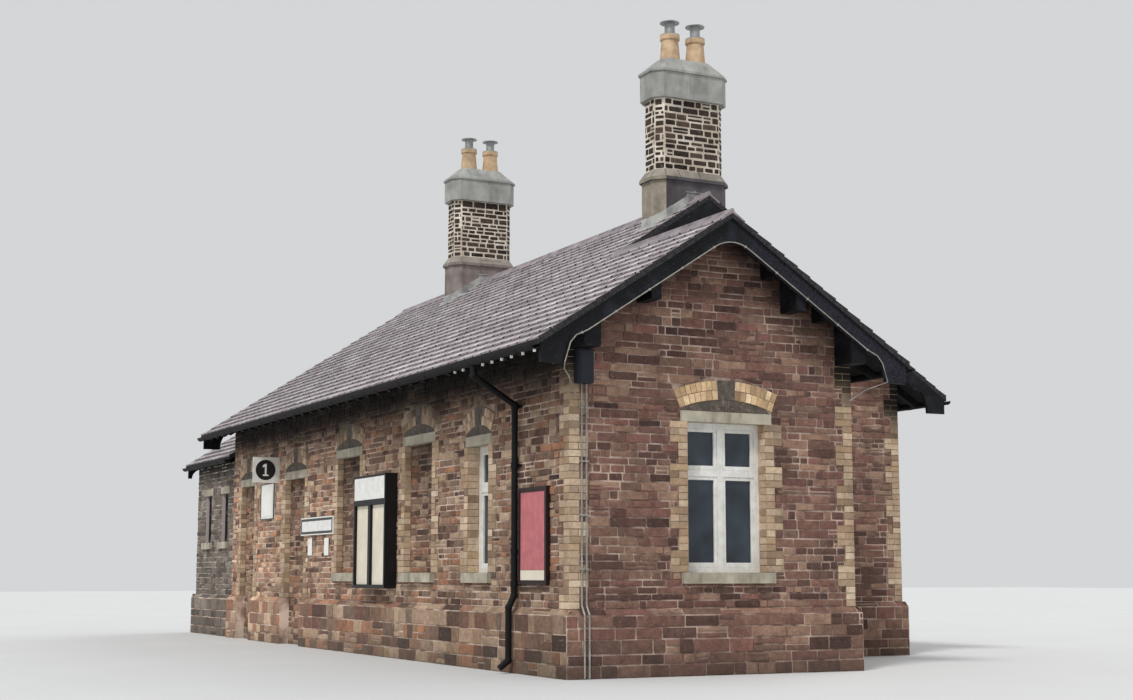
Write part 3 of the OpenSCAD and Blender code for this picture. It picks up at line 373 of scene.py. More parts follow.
def merged(node):
    """A CAD node's mesh for reading, with the points that its faces share joined."""
    bm = bmesh.new()
    bm.from_mesh(nodes[node].data)
    bmesh.ops.remove_doubles(bm, verts=bm.verts[:], dist=1e-5)
    return bm


def loose_boxes(node):
    """The box of each separate solid of a CAD node, in the same order each run."""
    bm = merged(node)
    left, boxes = set(bm.verts), []
    while left:
        todo, part = [left.pop()], []
        while todo:
            v = todo.pop()
            part.append(v.co.copy())
            for e in v.link_edges:
                w = e.other_vert(v)
                if w in left:
                    left.discard(w)
                    todo.append(w)
        boxes.append(tuple(Vector([end(p[i] for p in part) for i in range(3)]) for end in (min, max)))
    bm.free()
    return sorted(boxes, key=lambda box: [round(c, 4) for corner in box for c in corner])


def flat_faces(node, least):
    """Each upright or sloping flat face of a CAD node as a plane with its outline."""
    bm = merged(node)
    bmesh.ops.dissolve_limit(bm, angle_limit=0.02, verts=bm.verts[:], edges=bm.edges[:])
    found = []
    for f in bm.faces:
        if f.calc_area() < least or abs(f.normal.z) > 0.99:
            continue
        right = Vector((0, 0, 1)).cross(f.normal).normalized()
        plane = Plane(f.calc_center_median(), right, f.normal.cross(right))
        steps = [v.co - plane.origin for v in f.verts]
        found.append((plane, [(s.dot(plane.right), s.dot(plane.up)) for s in steps]))
    bm.free()
    return found


# Materials


class Shade:
    """A node material around one Principled shader."""

    def __init__(self, name, roughness=0.8, **fixed):
        self.material = bpy.data.materials.new(name)
        self.material.use_nodes = True
        self.tree = self.material.node_tree
        self.shader = self.tree.nodes["Principled BSDF"]
        self.shader.inputs["Roughness"].default_value = roughness
        for key, value in fixed.items():
            self.shader.inputs[key.replace("_", " ")].default_value = value
        self.place = self.node("ShaderNodeTexCoord").outputs["Object"]

    def node(self, kind, **settings):
        made = self.tree.nodes.new(kind)
        for key, value in settings.items():
            setattr(made, key, value)
        return made

    def put(self, socket, value):
        """Links or sets an input."""
        if isinstance(value, bpy.types.NodeSocket):
            self.tree.links.new(value, socket)
        elif isinstance(value, tuple) and socket.type == "RGBA":
            socket.default_value = value + (1,)
        else:
            socket.default_value = value

    def fill(self, made, output, **values):
        """Links or sets inputs of a new node by name, and gives one of its outputs."""
        for key, value in values.items():
            self.put(made.inputs[key.replace("_", " ")], value)
        return made.outputs[output]

    def noise(self, scale, detail=4, stretch=(1, 1, 1)):
        vector = self.fill(self.node("ShaderNodeMapping"), "Vector", Vector=self.place, Scale=stretch)
        return self.fill(self.node("ShaderNodeTexNoise"), "Fac", Vector=vector, Scale=scale, Detail=detail,
                         Roughness=0.55)

    def mark(self, name="tone"):
        return self.node("ShaderNodeAttribute", attribute_name=name).outputs["Fac"]

    def ramp(self, value, stops):
        """Colours or grey levels at (place, value) stops."""
        made = self.node("ShaderNodeValToRGB")
        for i, (at, colour) in enumerate(stops):
            stop = made.color_ramp.elements[i] if i < 2 else made.color_ramp.elements.new(at)
            stop.position = at
            stop.color = (colour if isinstance(colour, tuple) else (colour,) * 3) + (1,)
        return self.fill(made, "Color", Fac=value)

    def mix(self, fac, a, b, way="MIX"):
        made = self.node("ShaderNodeMix", data_type="RGBA", blend_type=way)
        return self.fill(made, "Result", Factor=fac, A=a, B=b)

    def times(self, base, factor, amount=1.0):
        return self.mix(amount, base, factor, "MULTIPLY")

    def mottle(self, base, amount, noise, low_stop, high_stop):
        """Darker and lighter patches, from two (noise, factor) stops."""
        return self.times(base, self.ramp(noise, [low_stop, high_stop]), amount)

    def stain(self, base, noise, start, end, amount, colour):
        """Patches of another colour, where the noise lies above start."""
        return self.mix(self.ramp(noise, [(start, 0.0), (end, amount)]), base, srgb(*colour))

    def tones(self, noise, start, end, dark, light):
        return self.ramp(noise, [(start, srgb(*dark)), (end, srgb(*light))])

    def math(self, way, a, b=0.0):
        made = self.node("ShaderNodeMath", operation=way)
        self.put(made.inputs[0], a)
        self.put(made.inputs[1], b)
        return made.outputs[0]

    def part(self, axis, vector):
        return self.fill(self.node("ShaderNodeSeparateXYZ"), axis, Vector=vector)

    def along(self, axis, start, end):
        """0 at one place along an axis of the frame and 1 at another."""
        return self.fill(self.node("ShaderNodeMapRange"), "Result", Value=self.part(axis, self.place),
                         From_Min=start, From_Max=end)

    def facing(self, axis):
        """How far the surface faces up, for axis Z, or another way."""
        return self.part(axis, self.node("ShaderNodeNewGeometry").outputs["Normal"])

    def finish(self, colour, bump=None, distance=0.004, strength=0.5, roughness=None):
        self.put(self.shader.inputs["Base Color"], colour)
        if roughness is not None:
            self.put(self.shader.inputs["Roughness"], roughness)
        if bump is not None:
            normal = self.fill(self.node("ShaderNodeBump"), "Normal", Strength=strength, Distance=distance,
                               Height=bump)
            self.put(self.shader.inputs["Normal"], normal)
        return self.material


def srgb(red, green, blue):
    """A colour written as it shows, from 0 to 255, turned into linear light."""
    def linear(c):
        c /= 255
        return c / 12.92 if c <= 0.04045 else ((c + 0.055) / 1.055) ** 2.4

    return (linear(red), linear(green), linear(blue))


def palette(*colours):
    """Evenly spaced stops of a ramp."""
    return [(i / (len(colours) - 1), srgb(*c)) for i, c in enumerate(colours)]


def weathered_and_shaded(s, base, eaves=None, drift=0, verge=False):
    """Adds the damp foot, a painted shade under the eaves or verge and the paler far end of a wall."""
    base = s.mix(s.ramp(s.along("Z", 0, 0.5), [(0.0, 0.45), (0.75, 0.0)]), base, srgb(70, 66, 56))
    # Painted shade under the eaves: darker up the band, near black at its top
    if eaves:
        uneven = s.math("MULTIPLY", s.noise(1.6, 4), 0.5)
        reach = s.math("ADD", s.along("Z", *eaves), s.math("SUBTRACT", uneven, 0.25))
        shade = s.ramp(reach, [(0.0, 0.0), (0.4, 0.35), (0.75, 0.82), (1.0, 0.98)])
        base = s.mix(shade, base, srgb(14, 11, 10))
    # Painted shade under the verge boards: darker nearer the near gable's roof line
    if verge:
        aside = s.math("ABSOLUTE", s.math("SUBTRACT", s.part("Y", s.place), Y_NEAR_RIDGE))
        fall = s.math("ADD", s.part("Z", s.place), s.math("MULTIPLY", aside, GRADE))
        uneven = s.math("MULTIPLY", s.noise(2.2, 4), 0.3)
        below = s.math("ADD", s.math("SUBTRACT", GABLE_TOP, fall), uneven)
        base = s.mix(s.ramp(below, [(0.15, 0.85), (0.42, 0.4), (0.9, 0.0)]), base, srgb(34, 28, 25))
    if drift:
        base = s.times(base, s.ramp(s.along("X", X_MAIN_B, X_NEAR), [(0.0, drift), (1.0, 0.98)]))
    return base


def stone_material(name, colours, soot=0.35, **place):
    """Rough stone: each block has its own tone, with speckle, mottles and stains."""
    s = Shade(name, roughness=0.92, Specular_IOR_Level=0.25)
    base = s.ramp(s.mark(), palette(*colours))
    base = s.mottle(base, 0.85, s.noise(11, 5), (0.28, 0.62), (0.72, 1.28))
    base = s.mottle(base, 0.75, s.noise(80, 5), (0.3, 0.55), (0.72, 1.45))
    base = s.stain(base, s.noise(30, 6), 0.6, 0.72, 0.4, (176, 160, 142))
    base = s.stain(base, s.noise(1.1, 5, (1, 1, 0.35)), 0.42, 0.72, soot, (52, 44, 41))
    bump = s.math("ADD", s.noise(24, 6), s.math("MULTIPLY", s.noise(130, 3), 0.4))
    return s.finish(weathered_and_shaded(s, base, **place), bump, distance=0.011, strength=0.8)


def mortar_material(name, light, dark, reveal=None, **place):
    """Pointing that is pale and sound in some patches, and washed out and dirty in others."""
    s = Shade(name, roughness=0.95, Specular_IOR_Level=0.25)
    base = s.tones(s.noise(3.4, 6), 0.4, 0.62, dark, light)
    if reveal:
        aside = s.ramp(s.math("ABSOLUTE", s.facing("X")), [(0.8, 0.0), (0.9, 1.0)])
        base = s.mix(aside, base, srgb(*reveal))
    base = s.mottle(base, 0.6, s.noise(120, 4), (0.3, 0.72), (0.7, 1.15))
    return s.finish(weathered_and_shaded(s, base, **place), s.noise(110, 5), distance=0.006, strength=0.6)


def brick_material(name, warmth, **place):
    """Yellow bricks with a tone each, dirty patches and pits. warmth multiplies red, green and blue."""
    s = Shade(name, roughness=0.88, Specular_IOR_Level=0.3)
    base = s.ramp(s.mark(), palette(*BRICK_TONES))
    base = s.mottle(base, 0.75, s.noise(26, 5), (0.3, 0.7), (0.7, 1.15))
    base = s.stain(base, s.noise(3, 5, (1, 1, 0.5)), 0.5, 0.74, 0.5, (96, 82, 70))
    base = s.stain(base, s.noise(170, 3), 0.55, 0.7, 0.5, (108, 88, 70))
    base = s.times(base, warmth)
    return s.finish(weathered_and_shaded(s, base, **place), s.noise(90, 5), distance=0.004, strength=0.6)


def slate_material():
    """Pale lilac-grey slates, with a painted highlight at each tail, painted shade under the next row's tail
    and painted shade of the gaps at each slate's sides.
    """
    s = Shade("slate", roughness=0.62)
    base = s.ramp(s.mark(), palette(*SLATE_TONES))
    base = s.mottle(base, 0.7, s.noise(14, 5), (0.3, 0.78), (0.7, 1.15))
    base = s.stain(base, s.noise(6, 5, (1.6, 0.25, 0.25)), 0.45, 0.75, 0.45, (92, 80, 84))
    base = s.stain(base, s.noise(22, 6), 0.62, 0.7, 0.7, (206, 202, 190))
    uneven = s.math("MULTIPLY", s.math("SUBTRACT", s.noise(26, 4), 0.5), 0.16)
    run = s.math("ADD", s.mark("run"), uneven)
    # Painted highlight at each tail and painted shade towards the head, under the next row's tail
    tail_highlight_and_shade = s.ramp(run, [(0.0, 1.45), (0.25, 1.28), (0.45, 1.0), (0.66, 0.5), (0.86, 0.1)])
    # Painted shade of the gaps between slates: darker at each slate's side edges
    joint = s.ramp(s.mark("across"), [(0.0, 0.04), (0.09, 1.0), (0.91, 1.0), (1.0, 0.04)])
    far = s.ramp(s.along("X", X_MAIN_B, X_NEAR), [(0.0, 0.86), (1.0, 1.1)])
    for factor in (tail_highlight_and_shade, joint, far):
        base = s.times(base, factor)
    return s.finish(base, s.noise(60, 6), roughness=s.ramp(s.noise(18), [(0.3, 0.5), (0.7, 0.75)]))


def roof_deck_material():
    """The slab under the slates: dark from above, black boards from below and mortar at the verges."""
    s = Shade("roof_deck", roughness=0.85)
    board = s.tones(s.noise(40, 3, (0.1, 1, 1)), 0.3, 0.7, (16, 16, 18), (30, 29, 31))
    top = s.tones(s.noise(20), 0.3, 0.7, (28, 25, 28), (44, 40, 43))
    verge = s.tones(s.noise(30, 6), 0.4, 0.7, (22, 21, 24), (62, 58, 60))
    upward = s.ramp(s.facing("Z"), [(0.45, 0.0), (0.55, 1.0)])
    sideways = s.ramp(s.math("ABSOLUTE", s.facing("X")), [(0.8, 0.0), (0.9, 1.0)])
    return s.finish(s.mix(sideways, s.mix(upward, board, top), verge), s.noise(50))


def black_wood_material(name, paler_to_rear=False):
    """Old black paint with blue-grey patches and streaks and, where asked, a paler blue-grey grain towards
    the rear board.
    """
    s = Shade(name, roughness=0.6, Specular_IOR_Level=0.2)
    base = s.tones(s.noise(7, 5, (1, 0.25, 1)), 0.3, 0.7, (9, 9, 11), (22, 23, 27))
    base = s.stain(base, s.noise(5, 6), 0.5, 0.75, 0.6, (48, 50, 60))
    # A paler blue-grey grain that grows towards the rear board
    if paler_to_rear:
        grain = s.tones(s.noise(34, 5), 0.36, 0.64, (18, 18, 24), (58, 58, 70))
        side = s.ramp(s.along("Y", Y_NEAR_RIDGE - 0.3, Y_NEAR_RIDGE + 0.5), [(0.3, 0.0), (1.0, 0.5)])
        base = s.mix(side, base, grain)
    base = s.stain(base, s.noise(45, 6, (1, 0.3, 1)), 0.62, 0.74, 0.5, (86, 86, 90))
    return s.finish(base, s.noise(90, 4, (1, 0.12, 1)), distance=0.003)


def near_stack_material():
    """Render with painted light and shade by facet: paler beige on the faces turned to the front, and a
    painted purple-brown shade near the front edge of the other faces.
    """
    s = Shade("near_stack_render", roughness=0.9)
    base = s.tones(s.noise(4, 6), 0.3, 0.68, (68, 65, 69), (102, 98, 100))
    edge = low("near_chimney_base").y
    # Painted shade: purple-brown near the stack's front edge
    painted_shade_patch = s.math("ADD", s.along("Y", edge, edge + 0.5), s.math("SUBTRACT", s.noise(7, 5), 0.5))
    base = s.mix(s.ramp(painted_shade_patch, [(0.15, 0.8), (0.75, 0.0)]), base, srgb(66, 57, 66))
    # Painted light: the faces turned to -Y are paler beige
    aside = s.ramp(s.math("MULTIPLY", s.facing("Y"), -1), [(0.5, 0.0), (0.6, 1.0)])
    base = s.mix(aside, base, s.tones(s.noise(5, 6), 0.3, 0.7, (124, 116, 102), (172, 162, 144)))
    base = s.stain(base, s.noise(7, 5, (1, 1, 0.22)), 0.5, 0.74, 0.45, (70, 64, 62))
    base = s.mottle(base, 0.7, s.noise(130, 4), (0.3, 0.82), (0.7, 1.1))
    return s.finish(base, s.noise(45, 6), distance=0.005)


def cement_material(name, dark, light, streaks=0.5):
    """Render, cast caps, tiles and flags, with dark streaks."""
    s = Shade(name, roughness=0.9)
    base = s.tones(s.noise(4, 6), 0.3, 0.68, dark, light)
    base = s.mottle(base, 0.7, s.noise(130, 4), (0.3, 0.82), (0.7, 1.1))
    base = s.stain(base, s.noise(7, 5, (1, 1, 0.22)), 0.5, 0.74, streaks, (76, 72, 68))
    return s.finish(base, s.noise(45, 6), distance=0.005)


def white_paint_material():
    s = Shade("white_paint", roughness=0.38)
    base = s.tones(s.noise(8, 5), 0.3, 0.65, (214, 212, 204), (238, 237, 231))
    base = s.stain(base, s.noise(26, 5, (1, 1, 0.4)), 0.58, 0.78, 0.45, (140, 134, 120))
    return s.finish(base, s.noise(70, 3), distance=0.001, strength=0.3)


def glass_material():
    s = Shade("window_glass", roughness=0.05, IOR=1.5, Alpha=0.86)
    base = s.tones(s.noise(2.5, 2), 0.3, 0.7, (34, 42, 50), (62, 74, 84))
    return s.finish(base, s.noise(3, 2), distance=0.001, strength=0.15)


def dressed_stone_material():
    s = Shade("dressed_stone", roughness=0.88)
    base = s.tones(s.noise(3.5, 5), 0.3, 0.7, (150, 142, 124), (198, 190, 170))
    base = s.mottle(base, 0.8, s.noise(110, 4), (0.3, 0.8), (0.7, 1.12))
    base = s.stain(base, s.noise(9, 5, (1, 1, 0.3)), 0.5, 0.72, 0.6, (94, 88, 78))
    return s.finish(base, s.noise(60, 6), strength=0.55)


def key_stone_material():
    s = Shade("key_stone", roughness=0.9)
    base = s.tones(s.noise(10, 6), 0.3, 0.7, (62, 55, 50), (104, 94, 84))
    base = s.stain(base, s.noise(24, 6), 0.58, 0.7, 0.6, (150, 138, 122))
    return s.finish(base, s.noise(70, 6), distance=0.005, strength=0.6)


def clay_material():
    s = Shade("buff_clay", roughness=0.8)
    base = s.tones(s.noise(9, 5), 0.3, 0.7, (176, 146, 112), (216, 188, 152))
    base = s.stain(base, s.noise(5, 5, (1, 1, 0.5)), 0.52, 0.8, 0.55, (84, 72, 62))
    return s.finish(base, s.noise(60, 4), distance=0.002, strength=0.4)


def plain_material(name, colour, roughness=0.5, metallic=0.0, wear=0.15, grain=30, shine=0.5):
    """Paint, metal or paper with soft unevenness and a little wear."""
    s = Shade(name, roughness=roughness, Metallic=metallic, Specular_IOR_Level=shine)
    dark = tuple(c * (1 - wear) for c in colour)
    light = tuple(min(255, c * (1 + wear)) for c in colour)
    base = s.tones(s.noise(grain * 0.3, 5), 0.3, 0.7, dark, light)
    base = s.stain(base, s.noise(grain * 3, 4), 0.62, 0.75, wear * 1.5, [c * 0.55 for c in colour])
    return s.finish(base, s.noise(grain * 3, 4), distance=0.002, strength=0.25)


BRICK_TONES = [(192, 168, 140), (226, 202, 172), (164, 140, 114), (216, 190, 156), (234, 216, 188),
               (180, 152, 122), (212, 192, 164), (146, 122, 102), (204, 178, 142)]
SLATE_TONES = [(160, 149, 152), (190, 180, 181), (144, 132, 137), (202, 193, 192), (172, 160, 161),
               (184, 175, 178), (152, 140, 142), (196, 187, 187)]
GABLE_TONES = [(110, 80, 71), (148, 113, 98), (86, 63, 57), (164, 130, 110), (128, 95, 82), (144, 102, 91),
               (99, 76, 69), (170, 138, 116), (121, 86, 77), (76, 58, 54)]
WALL_TONES = [(118, 90, 74), (166, 138, 112), (86, 64, 54), (186, 160, 134), (76, 57, 50), (164, 118, 90),
              (138, 108, 90), (100, 74, 64), (178, 152, 128), (64, 50, 46), (150, 110, 90)]
GREY_TONES = [(112, 102, 94), (140, 128, 116), (92, 84, 78), (126, 110, 98), (154, 144, 132), (82, 74, 70)]
SHAFT_TONES = [(44, 37, 34), (74, 60, 52), (34, 30, 29), (92, 76, 66), (56, 45, 40)]
GABLE_JOINTS = ((202, 178, 162), (120, 94, 84))
GREY_JOINTS = ((196, 188, 176), (118, 108, 98))

# Heights between which the walls take a painted shade towards their eaves, and the recessed infill towards
# its top
EAVE_SHADE_BAND = (2.95, 3.56)
FAR_EAVE_SHADE_BAND = (FAR_WALL_TOP - 0.55, FAR_WALL_TOP - 0.1)
INFILL_SHADE = (1.5, 3.85)

M = {
    # verge=True paints shade under the near gable's boards
    "near_stone": stone_material("near_gable_stone", GABLE_TONES, verge=True),
    "gable_stone": stone_material("gable_stone", GABLE_TONES),
    "wall_stone": stone_material("wall_stone", WALL_TONES, eaves=EAVE_SHADE_BAND, drift=1.95),
    "grey_stone": stone_material("grey_stone", GREY_TONES, eaves=FAR_EAVE_SHADE_BAND),
    "end_stone": stone_material("end_stone", GREY_TONES),
    # The infill's band paints the shade at the top of its recess
    "infill_stone": stone_material("infill_stone", WALL_TONES, eaves=INFILL_SHADE, drift=1.3),
    "shaft_stone": stone_material("shaft_stone", SHAFT_TONES, soot=0.2),
    "near_mortar": mortar_material("near_gable_mortar", *GABLE_JOINTS, verge=True),
    "gable_mortar": mortar_material("gable_mortar", *GABLE_JOINTS),
    "wall_mortar": mortar_material("wall_mortar", (212, 191, 174), (136, 111, 96), eaves=EAVE_SHADE_BAND, drift=1.45),
    "grey_mortar": mortar_material("grey_mortar", *GREY_JOINTS, eaves=FAR_EAVE_SHADE_BAND),
    "end_mortar": mortar_material("end_mortar", *GREY_JOINTS),
    "far_front_mortar": mortar_material("far_front_mortar", *GREY_JOINTS, reveal=(196, 182, 180)),
    "infill_mortar": mortar_material("infill_mortar", (206, 180, 160), (112, 88, 74), eaves=INFILL_SHADE),
    "shaft_mortar": mortar_material("shaft_mortar", (238, 230, 214), (196, 184, 166)),
    "brick_mortar": mortar_material("brick_mortar", (168, 150, 120), (118, 100, 78)),
    "brick": brick_material("yellow_brick", (0.92, 0.88, 0.88), eaves=EAVE_SHADE_BAND),
    "arch_brick": brick_material("arch_brick", (1.2, 1.12, 0.98)),
    "slate": slate_material(),
    "deck": roof_deck_material(),
    "black_wood": black_wood_material("black_wood"),
    "near_board": black_wood_material("near_board", paler_to_rear=True),
    "white_paint": white_paint_material(),
    "glass": glass_material(),
    "dressed": dressed_stone_material(),
    "key": key_stone_material(),
    "clay": clay_material(),
    "near_stack": near_stack_material(),
    "stack": cement_material("stack_render", (106, 96, 92), (150, 139, 132)),
    "cap": cement_material("cap_render", (138, 139, 134), (176, 176, 169), 0.35),
    "weathering": cement_material("weathering_stone", (120, 112, 102), (164, 156, 144), 0.4),
    "ridge": cement_material("ridge_tile", (112, 104, 108), (168, 158, 160), 0.4),
    "floor": cement_material("floor_flags", (128, 124, 118), (158, 154, 146), 0.3),
    "lead": plain_material("lead", (150, 150, 146), roughness=0.6, metallic=0.15, wear=0.25, grain=12),
    "iron": plain_material("black_iron", (13, 12, 13), roughness=0.7, wear=0.3, shine=0.25),
    # Painted shade: the extension's white-painted window frames are coloured near black, for the shade in
    # their openings
    "frames_in_painted_shade": plain_material("frames_in_painted_shade", (27, 23, 23), roughness=0.55, wear=0.3, shine=0.3),
    "cowl": plain_material("galvanised", (150, 152, 150), metallic=0.5),
    "door": plain_material("door_paint", (38, 46, 62), roughness=0.35, wear=0.12),
    "red": plain_material("red_board", (188, 104, 108), wear=0.08),
    "maroon": plain_material("maroon_frame", (34, 15, 17), wear=0.2, shine=0.3),
    "black_case": plain_material("black_case", (13, 13, 15), wear=0.2, shine=0.3),
    "cream": plain_material("cream_panel", (226, 216, 196), roughness=0.6, wear=0.05, grain=10),
    "sign_white": plain_material("sign_white", (232, 232, 226), roughness=0.4, wear=0.05),
    "sign_black": plain_material("sign_black", (24, 24, 26), roughness=0.4, wear=0.1),
    "paper": plain_material("paper", (238, 236, 228), roughness=0.8, wear=0.03, grain=8),
    "box_blue": plain_material("box_enamel", (32, 36, 46), shine=0.3),
    "conduit": plain_material("conduit", (150, 146, 138)),
    "brass": plain_material("dull_brass", (168, 138, 74), roughness=0.35, metallic=0.8),
}

NODE_FINISH = {
    "wall_mortar": ["platform_wall", "main_rear_wall", "near_rear_wall", "platform_plinth", "rear_plinth"],
    "infill_mortar": ["blocked_windows", "blocked_doorways"],
    "near_mortar": ["near_gable_wall"],
    "gable_mortar": ["main_near_gable_wall", "main_far_gable_wall", "near_gable_plinth", "chimney_breasts"],
    "grey_mortar": ["far_rear_wall"],
    "end_mortar": ["far_end_wall"],
    "far_front_mortar": ["far_platform_wall"],
    "brick_mortar": ["corner_quoins", "opening_quoins", "brick_arches"],
    "key": ["arch_keystones"],
    "dressed": ["lintels", "sills"],
    "white_paint": ["gable_window_frame", "platform_window_frame", "rear_window_frames", "rear_door_frame"],
    # The extension's white frames take a near-black painted shade
    "frames_in_painted_shade": ["far_window_frames"],
    "glass": ["window_glass"],
    "door": ["rear_door"],
    "deck": ["main_platform_slope", "main_rear_slope", "near_platform_slope", "near_rear_slope",
             "far_roof_slopes"],
    "ridge": ["ridge_tiles"],
    "near_board": ["near_bargeboards"],
    "black_wood": ["main_bargeboards", "far_bargeboards", "purlin_ends", "rafter_feet"],
    "iron": ["gutters", "downpipes"],
    "stack": ["far_chimney_base"],
    "near_stack": ["near_chimney_base"],
    "shaft_mortar": ["near_chimney_shaft", "far_chimney_shaft"],
    "cap": ["near_chimney_cap", "far_chimney_cap"],
    "clay": ["chimney_pots"],
    "cowl": ["chimney_cowls"],
    "maroon": ["poster_frame"],
    "black_case": ["notice_board"],
    "sign_white": ["wall_plates"],
    "box_blue": ["wall_box"],
    "floor": ["floor_slab"],
}

for finish_name, node_names in NODE_FINISH.items():
    for node_name in node_names:
        data = nodes[node_name].data
        data.materials.clear()
        data.materials.append(M[finish_name])


# Faces of the building that carry stone

FRONT = Plane((0, Y_FRONT, 0), (1, 0, 0))
NEAR_GABLE = Plane((X_NEAR, 0, 0), (0, 1, 0))
NEAR_REAR = Plane((0, Y_NEAR_BACK, 0), (-1, 0, 0))
MAIN_GABLE = Plane((X_MAIN_A, 0, 0), (0, 1, 0))
MAIN_REAR = Plane((0, Y_BACK, 0), (-1, 0, 0))
FAR_GABLE = Plane((X_MAIN_B, 0, 0), (0, -1, 0))
FAR_FRONT = Plane((0, Y_FAR_FRONT, 0), (1, 0, 0))
FAR_REAR = Plane((0, Y_FAR_BACK, 0), (-1, 0, 0))
FAR_END = Plane((X_FAR, 0, 0), (0, -1, 0))

# Each quoined corner of a face: its place, the way into the wall, and whether its first quoin is long
CORNERS = [(FRONT, X_NEAR, -1, True), (NEAR_GABLE, Y_FRONT, 1, False), (NEAR_GABLE, Y_NEAR_BACK, -1, False),
           (NEAR_REAR, -X_NEAR, 1, True), (MAIN_GABLE, Y_BACK, -1, False), (MAIN_REAR, -X_MAIN_A, 1, True),
           (MAIN_REAR, -X_MAIN_B, -1, True), (FAR_GABLE, -Y_BACK, 1, False)]

BRICK_JOINT = 0.009
BRICK_BEVEL = 0.003
BRICK_PROUD = (0.003, 0.006)
BRICK_ON_EDGE = 0.078
ARCH_JOINT = 0.008
QUOIN_ROWS = 3


class Opening:
    """An opening of a wall: its middle, width, sill and head on the wall's plane."""

    def __init__(self, a, w, sill, head, lintel_top):
        self.a, self.w, self.sill, self.head, self.lintel_top = a, w, sill, head, lintel_top

    def rect(self):
        return rect(self.a - self.w / 2, self.sill, self.a + self.w / 2, self.head)

    def lift(self):
        """Foot, number and height of the quoins up each side, as the source lays them."""
        foot = max(self.sill, PLINTH_TOP)
        count = max(1, int((self.head - foot) / QUOIN_H + 1e-6))
        return foot, count, (self.head - foot) / count

    def quoins(self):
        foot, count, step = self.lift()
        for i in range(count):
            reach = QUOIN_SHORT if i % 2 else QUOIN_LONG
            z = foot + i * step
            yield rect(self.a + self.w / 2, z, self.a + self.w / 2 + reach, z + step)
            yield rect(self.a - self.w / 2 - reach, z, self.a - self.w / 2, z + step)

    def arch(self):
        """Radius, half angle and centre height of the relieving arch."""
        half = self.w / 2 + ARCH_END
        radius = (half ** 2 + ARCH_RISE ** 2) / (2 * ARCH_RISE)
        angle = math.asin(half / radius)
        centre = self.lintel_top + ARCH_GAP - (radius - ARCH_RING) * math.cos(angle)
        return radius, angle, centre

    def arch_point(self, radius, angle):
        return self.a + radius * math.sin(angle), self.arch()[2] + radius * math.cos(angle)

    def arch_hull(self, steps=10):
        """The arch and what lies under it, down to just above the lintel."""
        radius, angle, _ = self.arch()
        outer = [self.arch_point(radius, angle * (1 - 2 * i / steps)) for i in range(steps + 1)]
        return [self.arch_point(radius - ARCH_RING, side * angle) for side in (-1, 1)] + outer


def openings_on(plane, where):
    """Openings of a wall, read from its lintels and the sills under them, and those sills' outlines."""
    found = []
    sills = [plane.outline(*b) for b in loose_boxes("sills") if where(*b)]
    for box in loose_boxes("lintels"):
        if where(*box):
            a0, b0, a1, b1 = extent(plane.outline(*box))
            a = (a0 + a1) / 2
            under = [s[2][1] for s in sills if abs((s[0][0] + s[1][0]) / 2 - a) < 0.05]
            found.append(Opening(a, a1 - a0 - 2 * LINTEL_END, under[0] if under else 0.0, b0, b1))
    return sorted(found, key=lambda o: o.a), sills


def near(value, target):
    return abs(value - target) < 0.2


front_openings, front_sills = openings_on(FRONT, lambda lo, hi: near(lo.y, Y_FRONT) and lo.x > X_MAIN_B)
gable_openings, gable_sills = openings_on(
    NEAR_GABLE, lambda lo, hi: near(hi.x, X_NEAR) and hi.y - lo.y > 0.6
    and lo.y > Y_FRONT + 0.5 and hi.y < Y_NEAR_BACK - 0.5)
near_rear_openings, near_rear_sills = openings_on(
    NEAR_REAR, lambda lo, hi: near(hi.y, Y_NEAR_BACK) and lo.x > X_MAIN_A)
rear_openings, rear_sills = openings_on(MAIN_REAR, lambda lo, hi: near(hi.y, Y_BACK))
far_openings, far_sills = openings_on(
    FAR_FRONT, lambda lo, hi: near(lo.y, Y_FAR_FRONT) and hi.x < X_MAIN_B)


def corner_quoins(edge, inward, first_long):
    """Outlines of a corner's quoins on one of its two faces."""
    top = max(hi.z for lo, hi in loose_boxes("corner_quoins"))
    count = int((top - PLINTH_TOP) / QUOIN_H + 1e-6)
    step = (top - PLINTH_TOP) / count
    for i in range(count):
        reach = QUOIN_LONG if (i % 2 == 0) == first_long else QUOIN_SHORT
        z = PLINTH_TOP + i * step
        a0, a1 = sorted((edge, edge + inward * reach))
        yield rect(a0, z, a1, z + step)


# Courses: how much they vary in height, the share of stones of full length, the courses in which some
# stones are split in two, their share and where, and the smallest stone in square metres
RISES = (0.74, 1.28)
FULL_SHARE = 0.75
SPLIT_RISES = (0.095, 0.2)
SPLIT_SHARE = 0.14
SPLIT_AT = (0.42, 0.58)
LEAST_STONE = 0.0011
WIDE = 99


def courses(region, holes, rnd, height, lengths):
    """Convex outlines of stones in level courses that fill a region round its holes."""
    _, b, _, top = extent(region)
    while b < top - 0.01:
        rise = height * rnd.uniform(*RISES)
        if top - b - rise < height / 2:
            rise = top - b
        band = intersect(rect(-WIDE, b, WIDE, b + rise), region)
        if len(band) > 2:
            a, _, end, _ = extent(band)
            beside = [h for h in holes if extent(h)[1] < b + rise and extent(h)[3] > b]
            a -= rnd.uniform(0, lengths[0])
            while a < end:
                full = rnd.random() < FULL_SHARE
                length = rnd.uniform(*lengths) if full else lengths[0] * rnd.uniform(0.7, 1)
                levels = [b, b + rise]
                if SPLIT_RISES[0] < rise < SPLIT_RISES[1] and rnd.random() < SPLIT_SHARE:
                    levels = [b, b + rise * rnd.uniform(*SPLIT_AT), b + rise]
                for b0, b1 in zip(levels, levels[1:]):
                    for part in fitted(rect(a, b0, a + length, b1), region, beside):
                        if len(part) > 2 and area(part) > LEAST_STONE:
                            yield part
                a += length
        b += rise


